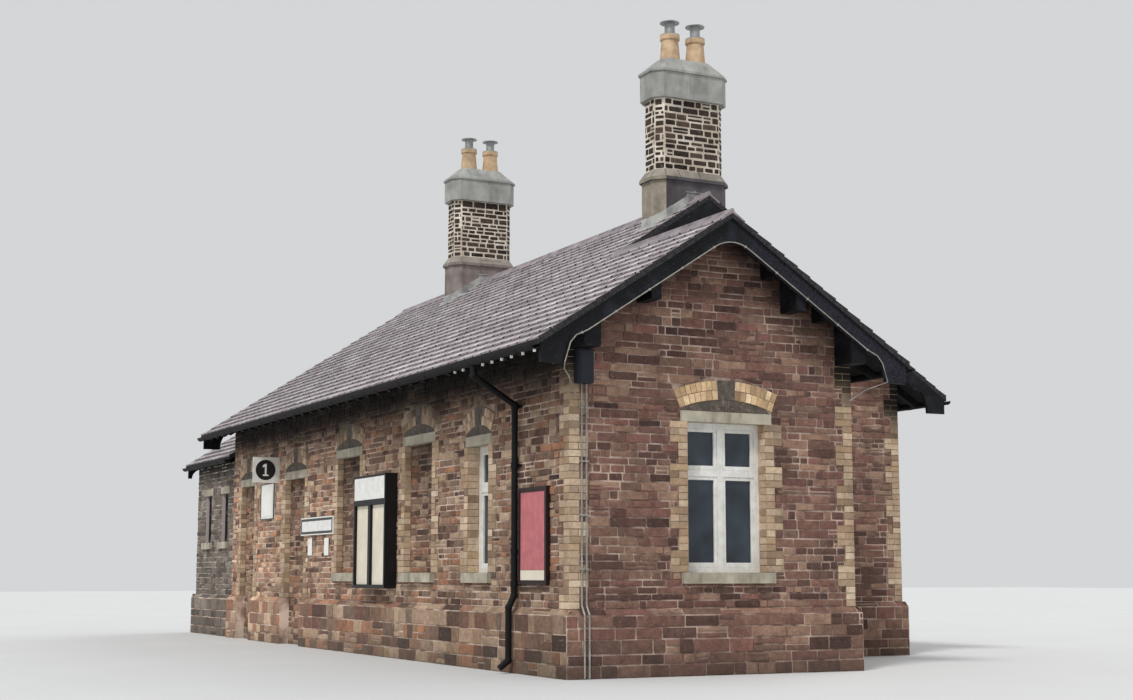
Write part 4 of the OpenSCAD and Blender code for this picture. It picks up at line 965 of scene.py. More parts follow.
def dressed_holes(openings, arched=True):
    """What the stones of a wall leave free round its openings."""
    holes = []
    for o in openings:
        half = o.w / 2 + LINTEL_END
        top = o.lintel_top + (ARCH_GAP if arched else 0)
        holes += [o.rect(), rect(o.a - half, o.head, o.a + half, top)]
        if arched:
            holes += list(o.quoins()) + [o.arch_hull()]
    return holes


def gable(a0, a1, foot, eave, ridge):
    """Outline of a gable end, with its ridge in the middle."""
    return [(a0, foot), (a1, foot), (a1, eave), ((a0 + a1) / 2, ridge), (a0, eave)]


def make_walls():
    """Coursed rubble on each wall, round its openings and quoins and what a roof or a stack hides."""
    z0 = PLINTH_TOP
    far_top = FAR_WALL_TOP + (Y_FAR_RIDGE - Y_FAR_FRONT) * GRADE
    near_inside = gable(Y_FRONT, Y_NEAR_BACK, 0, WALL_TOP, NEAR_RIDGE)
    far_inside = gable(-Y_FAR_BACK, -Y_FAR_FRONT, 0, FAR_WALL_TOP + SLATE_T, FAR_RIDGE)
    overhang, roof_deep = 0.6, 0.12
    eave = WALL_TOP - overhang * GRADE
    near_roof = [(Y_FRONT, 0), (Y_NEAR_BACK + overhang, 0), (Y_NEAR_BACK + overhang, eave),
                 (Y_NEAR_RIDGE, NEAR_RIDGE), (Y_FRONT, WALL_TOP)]
    near_eave = intersect(near_roof, rect(Y_NEAR_BACK, eave - roof_deep, WIDE, WIDE))
    base_lo, base_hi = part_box("near_chimney_base")
    stack = rect(base_lo.y, base_lo.z, base_hi.y, base_hi.z)
    usual = {"height": 0.09, "lengths": (0.13, 0.44)}
    fine = {"height": 0.084, "lengths": (0.12, 0.36)}
    tall = {"height": 0.1, "lengths": (0.13, 0.44)}
    walls = [
        ("platform_wall", FRONT, rect(X_MAIN_B, z0, X_NEAR, WALL_TOP),
         dressed_holes(front_openings), front_sills, "wall_stone", "wall_stone", fine),
        ("near_gable", NEAR_GABLE, gable(Y_FRONT, Y_NEAR_BACK, z0, WALL_TOP, GABLE_TOP),
         dressed_holes(gable_openings), gable_sills, "near_stone", "gable_stone", usual),
        ("near_rear", NEAR_REAR, rect(-X_NEAR, z0, -X_MAIN_A, WALL_TOP),
         dressed_holes(near_rear_openings, False), near_rear_sills, "wall_stone", "wall_stone", usual),
        ("main_gable", MAIN_GABLE, gable(Y_FRONT, Y_BACK, z0, WALL_TOP, MAIN_GABLE_TOP),
         [near_inside, stack], [near_eave], "gable_stone", "gable_stone", usual),
        ("main_rear", MAIN_REAR, rect(-X_MAIN_A, z0, -X_MAIN_B, WALL_TOP),
         dressed_holes(rear_openings, False), rear_sills, "wall_stone", "wall_stone", usual),
        ("main_far_gable", FAR_GABLE, gable(-Y_BACK, -Y_FRONT, z0, WALL_TOP, MAIN_GABLE_TOP),
         [far_inside], [], "gable_stone", "gable_stone", usual),
        ("extension_front", FAR_FRONT, rect(X_FAR, z0, X_MAIN_B, FAR_WALL_TOP),
         dressed_holes(far_openings, False), far_sills, "grey_stone", "grey_stone", tall),
        ("extension_rear", FAR_REAR, rect(-X_MAIN_B, z0, -X_FAR, FAR_WALL_TOP),
         [], [], "grey_stone", "grey_stone", tall),
        ("extension_end", FAR_END, gable(-Y_FAR_BACK, -Y_FAR_FRONT, z0, FAR_WALL_TOP, far_top),
         [], [], "end_stone", "grey_stone", tall),
    ]
    for i, (name, plane, region, first, last, material, slot, size) in enumerate(walls):
        pile = Pile(11 + i)
        quoins = [q for face, *corner in CORNERS if face is plane for q in corner_quoins(*corner)]
        for outline in courses(region, first + quoins + last, pile.rnd, **size):
            pile.stone(plane, outline, joint=0.014, proud=pile.rnd.uniform(0.003, 0.013),
                       dome=pile.rnd.uniform(-0.001, 0.005))
        pile.piece(name + "_stones", material, slot)


def make_plinth():
    """Bigger stones below a chamfered course of dressed blocks."""
    out, top = PLINTH_OUT, PLINTH_TOP - CHAMFER
    chamfer_run = math.hypot(CHAMFER, out)
    doors = [o.rect() for o in front_openings if o.sill < 0.1]
    back_doors = [extent(o.rect()) for o in rear_openings if o.head - o.sill > 1.9 or o.sill < 0.1]
    back_doors = [rect(a0, 0, a1, b1) for a0, _, a1, b1 in back_doors]
    runs = [
        ("platform", FRONT, X_MAIN_B - out, X_NEAR + out, doors, "wall_stone"),
        ("near_gable", NEAR_GABLE, Y_FRONT - out, Y_NEAR_BACK + out, [], "gable_stone"),
        ("near_rear", NEAR_REAR, -X_NEAR - out, -X_MAIN_A, [], "wall_stone"),
        ("main_gable", MAIN_GABLE, Y_NEAR_BACK + out, Y_BACK + out, [], "gable_stone"),
        ("main_rear", MAIN_REAR, -X_MAIN_A - out, -X_MAIN_B + out, back_doors, "wall_stone"),
        ("far_gable", FAR_GABLE, -Y_BACK - out, -Y_FAR_BACK - out, [], "wall_stone"),
        ("far_rear", FAR_REAR, -X_MAIN_B, -X_FAR + out, [], "grey_stone"),
        ("far_end", FAR_END, -Y_FAR_BACK - out, -Y_FAR_FRONT + out, [], "grey_stone"),
        ("far_front", FAR_FRONT, X_FAR - out, X_MAIN_B - out, [], "grey_stone"),
    ]
    for i, (name, plane, a0, a1, holes, tone) in enumerate(runs):
        pile = Pile(40 + i)
        face = plane.moved(out)
        for outline in courses(rect(a0, 0.0, a1, top), holes, pile.rnd, height=0.15, lengths=(0.22, 0.5)):
            pile.stone(face, outline, joint=0.014, proud=pile.rnd.uniform(0.005, 0.011), dome=0.003)
        up = (Vector((0, 0, 1)) * CHAMFER - plane.out * out).normalized()
        tilted = Plane(face.at(0, top), plane.right, up)
        gaps = [rect(hole[0][0], -1, hole[1][0], 1) for hole in holes]
        for outline in courses(rect(a0, 0, a1, chamfer_run), gaps, pile.rnd, height=1, lengths=(0.3, 0.55)):
            pile.tablet(tilted, outline, joint=0.012, bevel=0.004, proud=0.005)
        pile.piece("plinth_stones_" + name, tone, tone)


def make_infill():
    """The stone that blocks the old openings, set back from the wall."""
    pile = Pile(60)
    for node in ("blocked_windows", "blocked_doorways"):
        for lo, hi in loose_boxes(node):
            plane = Plane((0, lo.y, 0), (1, 0, 0))
            for outline in courses(plane.outline(lo, hi), [], pile.rnd, height=0.088, lengths=(0.13, 0.36)):
                pile.stone(plane, outline, joint=0.013, proud=pile.rnd.uniform(0.003, 0.01), dome=0.002)
    pile.piece("infill_stones", "infill_stone", "wall_stone")


def lay_bricks(pile, plane, outline, arris):
    """Brick faces over one quoin. There is no joint at its arris, on the left (-1) or the right (1)."""
    a0, b0, a1, b1 = extent(outline)
    if arris < 0:
        a0 -= BRICK_JOINT / 2
    else:
        a1 += BRICK_JOINT / 2
    for r in range(QUOIN_ROWS):
        z0, z1 = b0 + (b1 - b0) * r / QUOIN_ROWS, b0 + (b1 - b0) * (r + 1) / QUOIN_ROWS
        cuts = [a0, a0 + (a1 - a0) * 0.5, a1] if a1 - a0 > 0.2 and r == 1 else [a0, a1]
        for c0, c1 in zip(cuts, cuts[1:]):
            proud = pile.rnd.uniform(*BRICK_PROUD)
            pile.tablet(plane, rect(c0, z0, c1, z1), BRICK_JOINT, BRICK_BEVEL, proud)


def reveal_bricks(pile, plane, o, depth):
    """Brick ends down both reveals of an opening."""
    foot, quoins, _ = o.lift()
    count = quoins * QUOIN_ROWS
    step = (o.head - foot) / count
    for side in (-1, 1):
        reveal = Plane(plane.at(o.a + side * o.w / 2, 0, 0), plane.out * side)
        a0, a1 = (-depth, PROUD) if side > 0 else (-PROUD, depth)
        for i in range(count):
            outline = rect(a0, foot + i * step, a1, foot + (i + 1) * step)
            pile.tablet(reveal, outline, BRICK_JOINT, BRICK_BEVEL, proud=0.003)


def arch_bricks(pile, plane, o):
    """Two rings of bricks on edge, from the key to both ends of the arch."""
    radius, angle, _ = o.arch()
    key = math.asin(KEY_W / 2 / radius)
    face = plane.moved(PROUD)
    for ring in range(2):
        outer = radius - ring * ARCH_RING / 2
        inner = outer - ARCH_RING / 2
        count = max(2, round((angle - key) * (outer + inner) / 2 / BRICK_ON_EDGE))
        for side in (-1, 1):
            for i in range(count):
                t0, t1 = [key + (angle - key) * k / count for k in (i, i + 1)]
                t0, t1 = (t0, t1) if side > 0 else (-t1, -t0)
                outline = [o.arch_point(inner, t0), o.arch_point(inner, t1),
                           o.arch_point(outer, t1), o.arch_point(outer, t0)]
                pile.tablet(face, outline, ARCH_JOINT, BRICK_BEVEL, pile.rnd.uniform(*BRICK_PROUD))


def tympanum(pile, plane, o, steps=8):
    """Two slabs between the lintel and the arch over it."""
    radius, angle, _ = o.arch()
    half = o.w / 2 + LINTEL_END
    for side in (-1, 1):
        arc = [o.arch_point(radius - ARCH_RING, side * angle * i / steps) for i in range(steps + 1)]
        arc = [(a, b) for a, b in arc if abs(a - o.a) <= half + 1e-6 and b > o.lintel_top]
        outline = [(o.a, o.lintel_top), (o.a + side * half, o.lintel_top)] + arc[::-1]
        pile.tablet(plane, outline[::side], ARCH_JOINT, bevel=0.004, proud=0.006)


def make_dressings():
    """Bricks of the quoins, reveals and arches, and the slabs under the arches."""
    bricks, slabs, gable_arch = Pile(70), Pile(71), Pile(72)
    glazed_depth, blocked_depth = 0.145, 0.088
    for plane, openings in ((FRONT, front_openings), (NEAR_GABLE, gable_openings)):
        for o in openings:
            for q in o.quoins():
                lay_bricks(bricks, plane.moved(PROUD), q, -1 if q[0][0] > o.a else 1)
            blocked = plane is FRONT and o is not front_openings[-1]
            reveal_bricks(bricks, plane, o, blocked_depth if blocked else glazed_depth)
            arch_bricks(gable_arch if plane is NEAR_GABLE else bricks, plane, o)
            tympanum(slabs, plane, o)
    for plane, edge, inward, first_long in CORNERS:
        for q in corner_quoins(edge, inward, first_long):
            a0, b0, a1, b1 = extent(q)
            q = rect(a0 - PROUD, b0, a1, b1) if inward > 0 else rect(a0, b0, a1 + PROUD, b1)
            lay_bricks(bricks, plane.moved(PROUD), q, -inward)
    bricks.piece("dressing_bricks", "brick", "yellow_brick")
    gable_arch.piece("gable_arch_bricks", "arch_brick", "yellow_brick")
    slabs.piece("arch_infill_slabs", "key", "dressed_stone")


# The roof

COS, SIN = math.cos(PITCH), math.sin(PITCH)
SLATE_W = 0.255
GAUGE = 0.215
LAP = 0.004
SLATE_JOINT = 0.007
LEAST_SLATE = 0.002

# Heights over the deck: the bed of a slate, its head, and how far its tail is lifted over its head
SLATE_BED = 0.001
SLATE_HEAD = 0.007
TAIL_LIFT = 0.014


def slope_planes():
    """Each slope with its plane, its outline and the holes in it. b runs up the slope from the eave."""
    far_eave_y = low("far_roof_slopes").y
    eave_z = MAIN_RIDGE + Y_EAVE * GRADE
    far_eave_z = FAR_RIDGE - (Y_FAR_RIDGE - far_eave_y) * GRADE
    main_run = -Y_EAVE / COS
    near_run = (Y_NEAR_RIDGE - Y_EAVE) / COS
    far_run = (Y_FAR_RIDGE - far_eave_y) / COS

    def front(y, z):
        return Plane((0, y, z), (1, 0, 0), (0, COS, SIN))

    def back(y, z):
        return Plane((0, y, z), (-1, 0, 0), (0, -COS, SIN))

    stacks = []
    for lo, hi in (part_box("near_chimney_base"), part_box("far_chimney_base")):
        stacks.append((lo.x, hi.x, main_run - hi.y / COS, main_run + 1))
    front_stacks = [rect(x0, b0, x1, b1) for x0, x1, b0, b1 in stacks]
    back_stacks = [rect(-x1, b0, -x0, b1) for x0, x1, b0, b1 in stacks]
    past = rect(VERGE_MAIN_A, near_run, VERGE_NEAR + 1, main_run + 1)
    return [
        ("platform", front(Y_EAVE, eave_z), rect(VERGE_MAIN_B, 0, VERGE_NEAR, main_run),
         front_stacks + [past]),
        ("main_rear", back(-Y_EAVE, eave_z), rect(-VERGE_MAIN_A, 0, -VERGE_MAIN_B, main_run), back_stacks),
        ("near_rear", back(2 * Y_NEAR_RIDGE - Y_EAVE, eave_z), rect(-VERGE_NEAR, 0, -X_MAIN_A, near_run), []),
        ("extension_front", front(far_eave_y, far_eave_z), rect(VERGE_FAR, 0, X_MAIN_B, far_run), []),
        ("extension_rear", back(2 * Y_FAR_RIDGE - far_eave_y, far_eave_z),
         rect(-X_MAIN_B, 0, -VERGE_FAR, far_run), []),
    ]


def slate(pile, plane, outline, row_foot):
    """One slate: its tail lies on the row below and its head on the deck."""
    poly = inset(cleaned(outline), SLATE_JOINT / 2)
    if not poly or area(poly) < LEAST_SLATE:
        return
    n = len(poly)
    lift = TAIL_LIFT + pile.rnd.uniform(0, 0.005)
    twist = pile.rnd.uniform(-0.002, 0.002)
    mid = sum(a for a, b in poly) / n
    points = [plane.at(a, b, SLATE_BED) for a, b in poly]
    for a, b in poly:
        top = SLATE_HEAD + lift * (1 - (b - row_foot) / GAUGE) + twist * (a - mid) / SLATE_W
        points.append(plane.at(a, b, top))
    a0, b0, a1, _ = extent(poly)
    marks = [((b - b0) / GAUGE, (a - a0) / (a1 - a0)) for a, b in poly]
    pile.add(points, ring_faces(2, n) + [[n + i for i in range(n)]], marks=marks + marks)


def make_slates():
    """Rows of slates up each slope, with half a slate's shift in every other row."""
    for index, (name, plane, region, holes) in enumerate(slope_planes()):
        pile = Pile(80 + index)
        rnd = pile.rnd
        start, _, end, run = extent(region)
        for r in range(math.ceil(run / GAUGE)):
            row = r * GAUGE
            head = row + GAUGE + LAP
            a = start - (SLATE_W / 2 if r % 2 else 0) - rnd.uniform(0, 0.01)
            beside = [h for h in holes if extent(h)[1] < row + GAUGE]
            while a < end:
                width = SLATE_W * rnd.uniform(0.97, 1.03)
                foot = row + (rnd.uniform(-0.006, 0.006) if r else 0)
                outline = rect(a, foot, a + width, head)
                if rnd.random() < 0.06 and r:
                    nick = rnd.uniform(0.02, 0.05)
                    outline = [(a + nick, foot), *outline[1:], (a, foot + nick)]
                for part in fitted(outline, region, beside):
                    slate(pile, plane, part, row)
                a += width
        pile.piece("slates_" + name, "slate", "slate")


# Chimneys, lead and ridge

# Section of a flashing: (distance out of the stack, height over the slates)
LEAD_SECTION = [(0.007, 0.125), (0.012, 0.06), (0.02, 0.016), (0.075, 0.013), (0.13, 0.012),
                (0.13, 0.004), (0.02, 0.004), (0.001, 0.02), (0.001, 0.125)]
LEAD_STEP = 0.045
LEAD_SPREAD = 0.41
LEAD_LIFT = 0.012

RIDGE_TILE = 0.45
RIDGE_JOINT = 0.006
ROLL_R = 0.017
ROLL_TOP = 0.05
WING = 0.022


def make_chimney(name, seed):
    """Stones of the shaft, slabs of the weathering and slabs of the cap."""
    stones, slabs, caps = Pile(seed), Pile(seed + 1), Pile(seed + 2)
    for plane, outline in flat_faces(name + "_chimney_shaft", 0.05):
        for part in courses(outline, [], stones.rnd, height=0.086, lengths=(0.14, 0.27)):
            stones.stone(plane, part, joint=0.023, proud=stones.rnd.uniform(0.003, 0.009), dome=0.002)
    for plane, outline in flat_faces(name + "_chimney_base", 0.02):
        if plane.out.z > 0.2:
            for part in courses(outline, [], slabs.rnd, height=9, lengths=(0.36, 0.5)):
                slabs.tablet(plane, part, joint=0.016, bevel=0.004, proud=0.006, dome=0.002)
    for plane, outline in flat_faces(name + "_chimney_cap", 0.05):
        lengths = (0.5, 0.8) if plane.out.z < 0.2 else (1.5, 1.6)
        for part in courses(outline, [], caps.rnd, height=9, lengths=lengths):
            caps.tablet(plane, part, joint=0.005, bevel=0.004, proud=0.004)
    stones.piece(name + "_shaft_stones", "shaft_stone", "shaft_stone")
    slabs.piece(name + "_weathering_slabs", "weathering", "chimney_stone")
    caps.piece(name + "_cap_slabs", "cap", "chimney_cap")


def flash_face(pile, plane, outline):
    """Crumpled lead where one face of a chimney meets the slates: an upstand and an apron."""
    a0, _, a1, _ = extent(outline)
    steps = max(3, round((a1 - a0) / LEAD_STEP))
    points = []
    for i in range(steps + 1):
        for k, (d, lift) in enumerate(LEAD_SECTION):
            spread = LEAD_SPREAD * d * (2 * i / steps - 1)
            point = plane.at(a0 + (a1 - a0) * i / steps + spread, 0, d)
            crease = pile.rnd.uniform(-0.005, 0.006) if 0 < i < steps and k < 5 else 0
            ragged = pile.rnd.uniform(-0.02, 0.014) if k == 0 else 0
            point.z = MAIN_RIDGE - abs(point.y) * GRADE + LEAD_LIFT + lift + crease + ragged
            points.append(point + plane.out * max(0, crease) * 0.8)
    pile.add(points, closed_faces(steps + 1, len(LEAD_SECTION)))


def make_lead():
    """Flashings round both stacks, and a saddle over the ridge beside each."""
    lead = Pile(130)
    for name in ("near", "far"):
        for plane, outline in flat_faces(name + "_chimney_base", 0.05):
            if plane.out.z > 0.2 or extent(outline)[3] < 0.3:
                continue
            flash_face(lead, plane, outline)
            if plane.out.x > 0.9:
                x = plane.origin.x
                top = MAIN_RIDGE + 0.1
                lead.block((x, -0.13, top - 0.16), (x + 0.024, 0.14, top), 0.004)
                lead.block((x, -0.145, top), (x + 0.04, 0.155, top + 0.014), 0.004)
    lead.piece("lead_flashings", "lead", "ridge_tile")


def ridge_section(reach, skin):
    """Up the left wing, half round the roll and down the right wing, at some height above the CAD tile."""
    wing = WING / COS + skin
    r = ROLL_R + skin
    centre = ROLL_TOP - ROLL_R
    roll = [(-r * math.cos(t), centre + r * math.sin(t)) for t in [math.pi * i / 8 for i in range(9)]]
    left = [(-reach, -reach * GRADE + wing * COS), (-r - 0.006, wing - (r + 0.006) * GRADE)]
    return left + roll + [(-a, b) for a, b in left[::-1]]


def make_ridge():
    """Single tiles over the solid ridges of the source, each closed at its ends."""
    pile = Pile(131)
    for lo, hi in loose_boxes("ridge_tiles"):
        y, apex, reach = (lo.y + hi.y) / 2, hi.z - ROLL_TOP, (hi.y - lo.y) / 2
        count = max(1, round((hi.x - lo.x) / RIDGE_TILE))
        step = (hi.x - lo.x) / count
        for i in range(count):
            lift = pile.rnd.uniform(0, 0.003)
            outer = [(a, b + lift) for a, b in ridge_section(reach, 0.005)]
            loop = outer + ridge_section(reach - 0.001, -0.004)[::-1]
            n = len(loop)
            ends = (lo.x + i * step + RIDGE_JOINT / 2, lo.x + (i + 1) * step - RIDGE_JOINT / 2)
            points = [(x, y + a, apex + b) for x in ends for a, b in loop]
            faces = ring_faces(2, n)
            for e in (0, n):
                faces += [[e + k, e + k + 1, e + n - 2 - k, e + n - 1 - k] for k in range(n // 2 - 1)]
            pile.add(points, faces)
    pile.piece("ridge_tile_lengths", "ridge", "ridge_tile")


# Gutters and downpipes

BRACKET_STEP = 0.92
BRACKET_HALF = 0.013
SEAM_HALF = 0.035
COLLAR_HEIGHTS = (3.12, 2.42, 1.41, 1.03)
PIPE_R = 0.038
PIPE_OFF_WALL = 0.03


def half_ring(pile, x, half, y, z, inner, outer, steps=14):
    """A strap round the underside of a gutter, with x in the middle of its width."""
    points, faces = [], []
    for i in range(steps + 1):
        t = math.pi * (1 + i / steps)
        points += [(end, y + r * math.cos(t), z + r * math.sin(t)) for end in (x - half, x + half)
                   for r in (inner, outer)]
    for i in range(steps):
        a, b = i * 4, (i + 1) * 4
        faces += [[a, b, b + 2, a + 2], [a + 1, a + 3, b + 3, b + 1],
                  [a, a + 1, b + 1, b], [a + 2, b + 2, b + 3, a + 3]]
    faces += [[0, 2, 3, 1], [steps * 4, steps * 4 + 1, steps * 4 + 3, steps * 4 + 2]]
    pile.add(points, faces)


def make_ironwork():
    """Brackets and seams of the gutters, and collars with ears on the downpipes."""
    iron = Pile(140)
    for lo, hi in loose_boxes("gutters"):
        y, z, r = (lo.y + hi.y) / 2, hi.z, (hi.y - lo.y) / 2
        inward = 1 if y < -1 and lo.y < Y_FRONT else -1
        count = round((hi.x - lo.x) / BRACKET_STEP)
        edge = y + inward * r
        y0, y1 = sorted((edge - inward * 0.004, edge + inward * 0.05))
        for i in range(count):
            x = lo.x + (i + 0.5) * (hi.x - lo.x) / count
            half_ring(iron, x, BRACKET_HALF, y, z, r - 0.001, r + 0.005)
            seam = x + BRACKET_STEP / 2
            if i % 2 and seam + SEAM_HALF < hi.x:
                half_ring(iron, seam, SEAM_HALF, y, z, r - 0.001, r + 0.003)
            iron.block((x - BRACKET_HALF, y0, z - 0.002), (x + BRACKET_HALF, y1, z + 0.004), 0.001)
    for lo, hi in loose_boxes("downpipes"):
        x = (lo.x + hi.x) / 2
        wall, out = (Y_FRONT, -1) if lo.y < 0 else (Y_BACK, 1)
        y = wall + out * (PIPE_R + PIPE_OFF_WALL)
        y0, y1 = sorted((wall, wall + out * PIPE_OFF_WALL))
        for z in COLLAR_HEIGHTS:
            iron.rod([(x, y, z + up) for up in (-0.035, -0.03, 0.03, 0.035)], PIPE_R + 0.008, 20)
            iron.block((x - 0.085, y0, z - 0.016), (x + 0.085, y1, z + 0.016), 0.003)
    lo, hi = cad_box
    iron.points = [(x, min(max(y, lo[1]), hi[1]), z) for x, y, z in iron.points]
    iron.piece("gutter_and_pipe_fixings", "iron", "iron")


# Windows and the rear door

SASH_W = 0.042
SLIM_SASH_W = 0.03
SASH_D = 0.026


def make_sashes():
    """Stiles and rails round each pane."""
    sashes, far_sashes = Pile(150), Pile(153)
    for lo, hi in loose_boxes("window_glass"):
        pile = far_sashes if hi.x < X_MAIN_B else sashes
        size, mid = hi - lo, (lo + hi) / 2
        if size.x < size.y:
            plane = Plane((hi.x, mid.y, mid.z), (0, 1, 0))
        elif mid.y < -2:
            plane = Plane((mid.x, lo.y, mid.z), (1, 0, 0))
        else:
            plane = Plane((mid.x, hi.y, mid.z), (-1, 0, 0))
        w, h = max(size.x, size.y) / 2, size.z / 2
        bar = SASH_W if w > 0.15 else SLIM_SASH_W
        stiles = [rect(-w, -h, -w + bar, h), rect(w - bar, -h, w, h)]
        rails = [rect(-w + bar, -h, w - bar, -h + bar * 1.25), rect(-w + bar, h - bar, w - bar, h)]
        for outline in stiles + rails:
            pile.tablet(plane, outline, joint=0.0012, bevel=0.006, proud=SASH_D, foot=-0.012)
    sashes.piece("window_sashes", "white_paint", "white_paint")
    # The extension's white sashes take the same near-black painted shade
    far_sashes.piece("extension_sashes", "frames_in_painted_shade", "white_paint")


def make_rear_door():
    """Four raised panels, a weather bar, a knob and a keyhole plate."""
    lo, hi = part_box("rear_door")
    plane = Plane(((lo.x + hi.x) / 2, hi.y, lo.z), (-1, 0, 0))
    w, h = (hi.x - lo.x) / 2, hi.z - lo.z
    stile, half_muntin, margin = 0.11, 0.055, 0.05
    panels, metal = Pile(151), Pile(152)
    for side in (-1, 1):
        for b0, b1 in ((0.2, 0.85), (1.02, h - 0.14)):
            a0, a1 = sorted((side * half_muntin, side * (w - stile)))
            raised = rect(a0 + margin, b0 + margin, a1 - margin, b1 - margin)
            panels.sheet(plane, rect(a0, b0, a1, b1), proud=0.012, bevel=0.02)
            panels.tablet(plane, raised, joint=0, bevel=0.012, proud=0.02, foot=0.01)
    panels.sheet(plane, rect(-w + 0.01, 0.01, w - 0.01, 0.09), proud=0.03, bevel=0.02)
    knob = [(0.024, 0), (0.024, 0.004), (0.009, 0.008), (0.009, 0.03), (0.02, 0.036), (0.027, 0.05),
            (0.02, 0.064), (0.006, 0.067)]
    metal.turned(plane, w - 0.06, 0.95, knob)
    metal.turned(plane, w - 0.06, 0.82, [(0.013, 0), (0.013, 0.004), (0.01, 0.006)])
    panels.piece("rear_door_panels", "door", "door_paint")
    metal.piece("rear_door_knob", "brass", "iron")


# Boards, signs and small fittings


def make_poster():
    """A bare red panel over a plain strip, with a beading round both."""
    lo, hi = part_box("poster_frame")
    rim, floor_in, bead, gap, strip_h = 0.04, 0.015, 0.012, 0.004, 0.13
    plane = Plane(((lo.x + hi.x) / 2, lo.y + floor_in, lo.z), (1, 0, 0))
    w, h = (hi.x - lo.x) / 2 - rim, hi.z - lo.z - rim
    red, strip, trim = Pile(160), Pile(161), Pile(162)
    red.sheet(plane, rect(-w + gap, rim + strip_h, w - gap, h - gap))
    strip.sheet(plane, rect(-w + gap, rim + 0.006, w - gap, rim + strip_h - gap))
    for outline in (rect(-w, rim, -w + bead, h), rect(w - bead, rim, w, h),
                    rect(-w + bead, rim, w - bead, rim + bead), rect(-w + bead, h - bead, w - bead, h)):
        trim.sheet(plane, outline, proud=0.014, bevel=0.003)
    red.piece("poster_panel", "red", "red_board")
    strip.piece("poster_strip", "cream", "sign_plate")
    trim.piece("poster_beading", "maroon", "red_board")


def make_notice_board():
    """A plain header and two bare panels."""
    lo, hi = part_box("notice_board")
    rim, head, gap = 0.045, 0.38, 0.004
    w, top = (hi.x - lo.x) / 2, hi.z - lo.z
    front = Plane(((lo.x + hi.x) / 2, lo.y, lo.z), (1, 0, 0))
    header, panels = Pile(163), Pile(164)
    header.sheet(front, rect(-w + 0.035, top - head + 0.03, w - 0.035, top - 0.035), 0.005, 0.002)
    for side in (-1, 1):
        a0, a1 = sorted((side * (rim + gap), side * (w - rim - gap)))
        panels.sheet(front.moved(-rim), rect(a0, rim + gap, a1, top - head - rim - gap), 0.006, 0.002)
    header.piece("notice_board_header", "sign_white", "sign_plate")
    panels.piece("notice_board_panels", "cream", "sign_plate")


def numeral_one(pile, plane, size):
    """A plain numeral made of a stem, a flag and a foot."""
    s = size / 2
    stem = rect(-0.13 * s, -0.74 * s, 0.17 * s, s)
    flag = [(-0.13 * s, 0.5 * s), (-0.13 * s, s), (-0.5 * s, 0.72 * s), (-0.5 * s, 0.42 * s)]
    foot = rect(-0.45 * s, -s, 0.49 * s, -0.74 * s)
    for outline in (stem, flag, foot):
        pile.sheet(plane, outline, 0.0045)


def plate_face(lo, hi):
    """The front face of a plate, with half its width and half its height."""
    plane = Plane(((lo.x + hi.x) / 2, lo.y, (lo.z + hi.z) / 2), (1, 0, 0))
    return plane, (hi.x - lo.x) / 2, (hi.z - lo.z) / 2


def make_signs():
    """The number plate, the long sign with two papers under it, and the board with a paper on it."""
    number, board, sign = sorted(loose_boxes("wall_plates"), key=lambda b: b[1].x - b[0].x)
    black, white, paper = Pile(165), Pile(166), Pile(167)

    lo, hi = number
    size = hi.z - lo.z
    disc = [(size * 0.4, -0.001), (size * 0.4, 0.002), (size * 0.396, 0.003)]
    for x, right in ((hi.x, (0, 1, 0)), (lo.x, (0, -1, 0))):
        plane = Plane((x, lo.y + size / 2, (lo.z + hi.z) / 2), right)
        black.turned(plane, 0, 0, disc, 48)
        numeral_one(white, plane.moved(0.0025), size * 0.48)
        for strip in border(-size * 0.5, -size * 0.5, size * 0.5, size * 0.5, size * 0.025):
            white.sheet(plane, strip)

    plane, w, h = plate_face(*sign)
    edge, line = 0.02, 0.038
    foot, top, left, right = border(-w + edge, -h + edge, w - edge, h - edge, line)
    for strip in (top, foot, left, right):
        black.sheet(plane, strip, 0.003)
    below = Plane((plane.origin.x, Y_FRONT - 0.006, sign[0].z), (1, 0, 0))
    back = 0.007
    for a, drop in ((-0.36, 0.05), (0.46, 0.055)):
        a0, b0, a1, b1 = a - 0.105, -drop - 0.27, a + 0.105, -drop
        paper.sheet(below, rect(a0, b0, a1, b1), 0.009)
        black.sheet(below, rect(a0 - back, b0 - back, a1 + back, b1 + back), 0.006)

    plane, w, h = plate_face(*board)
    rim, wide_rim = 0.014, 0.03
    for strip in (rect(-w, h - rim, w, h), rect(-w, -h, w, -h + rim), rect(-w, -h + rim, -w + rim, h - rim),
                  rect(w - wide_rim, -h + rim, w, h - rim)):
        black.sheet(plane, strip, 0.01, 0.003)
    paper.sheet(plane, rect(-w + 0.06, -h + 0.05, w - 0.07, h - 0.05))

    black.piece("sign_blacks", "sign_black", "black_case")
    white.piece("number_and_border", "sign_white", "sign_plate")
    paper.piece("papers", "paper", "sign_plate")


CONDUIT_R = 0.011
CONDUIT_X = X_NEAR + PROUD + 0.014
CONDUIT_CLIPS = (3.0, 2.4, 1.8, 1.2)


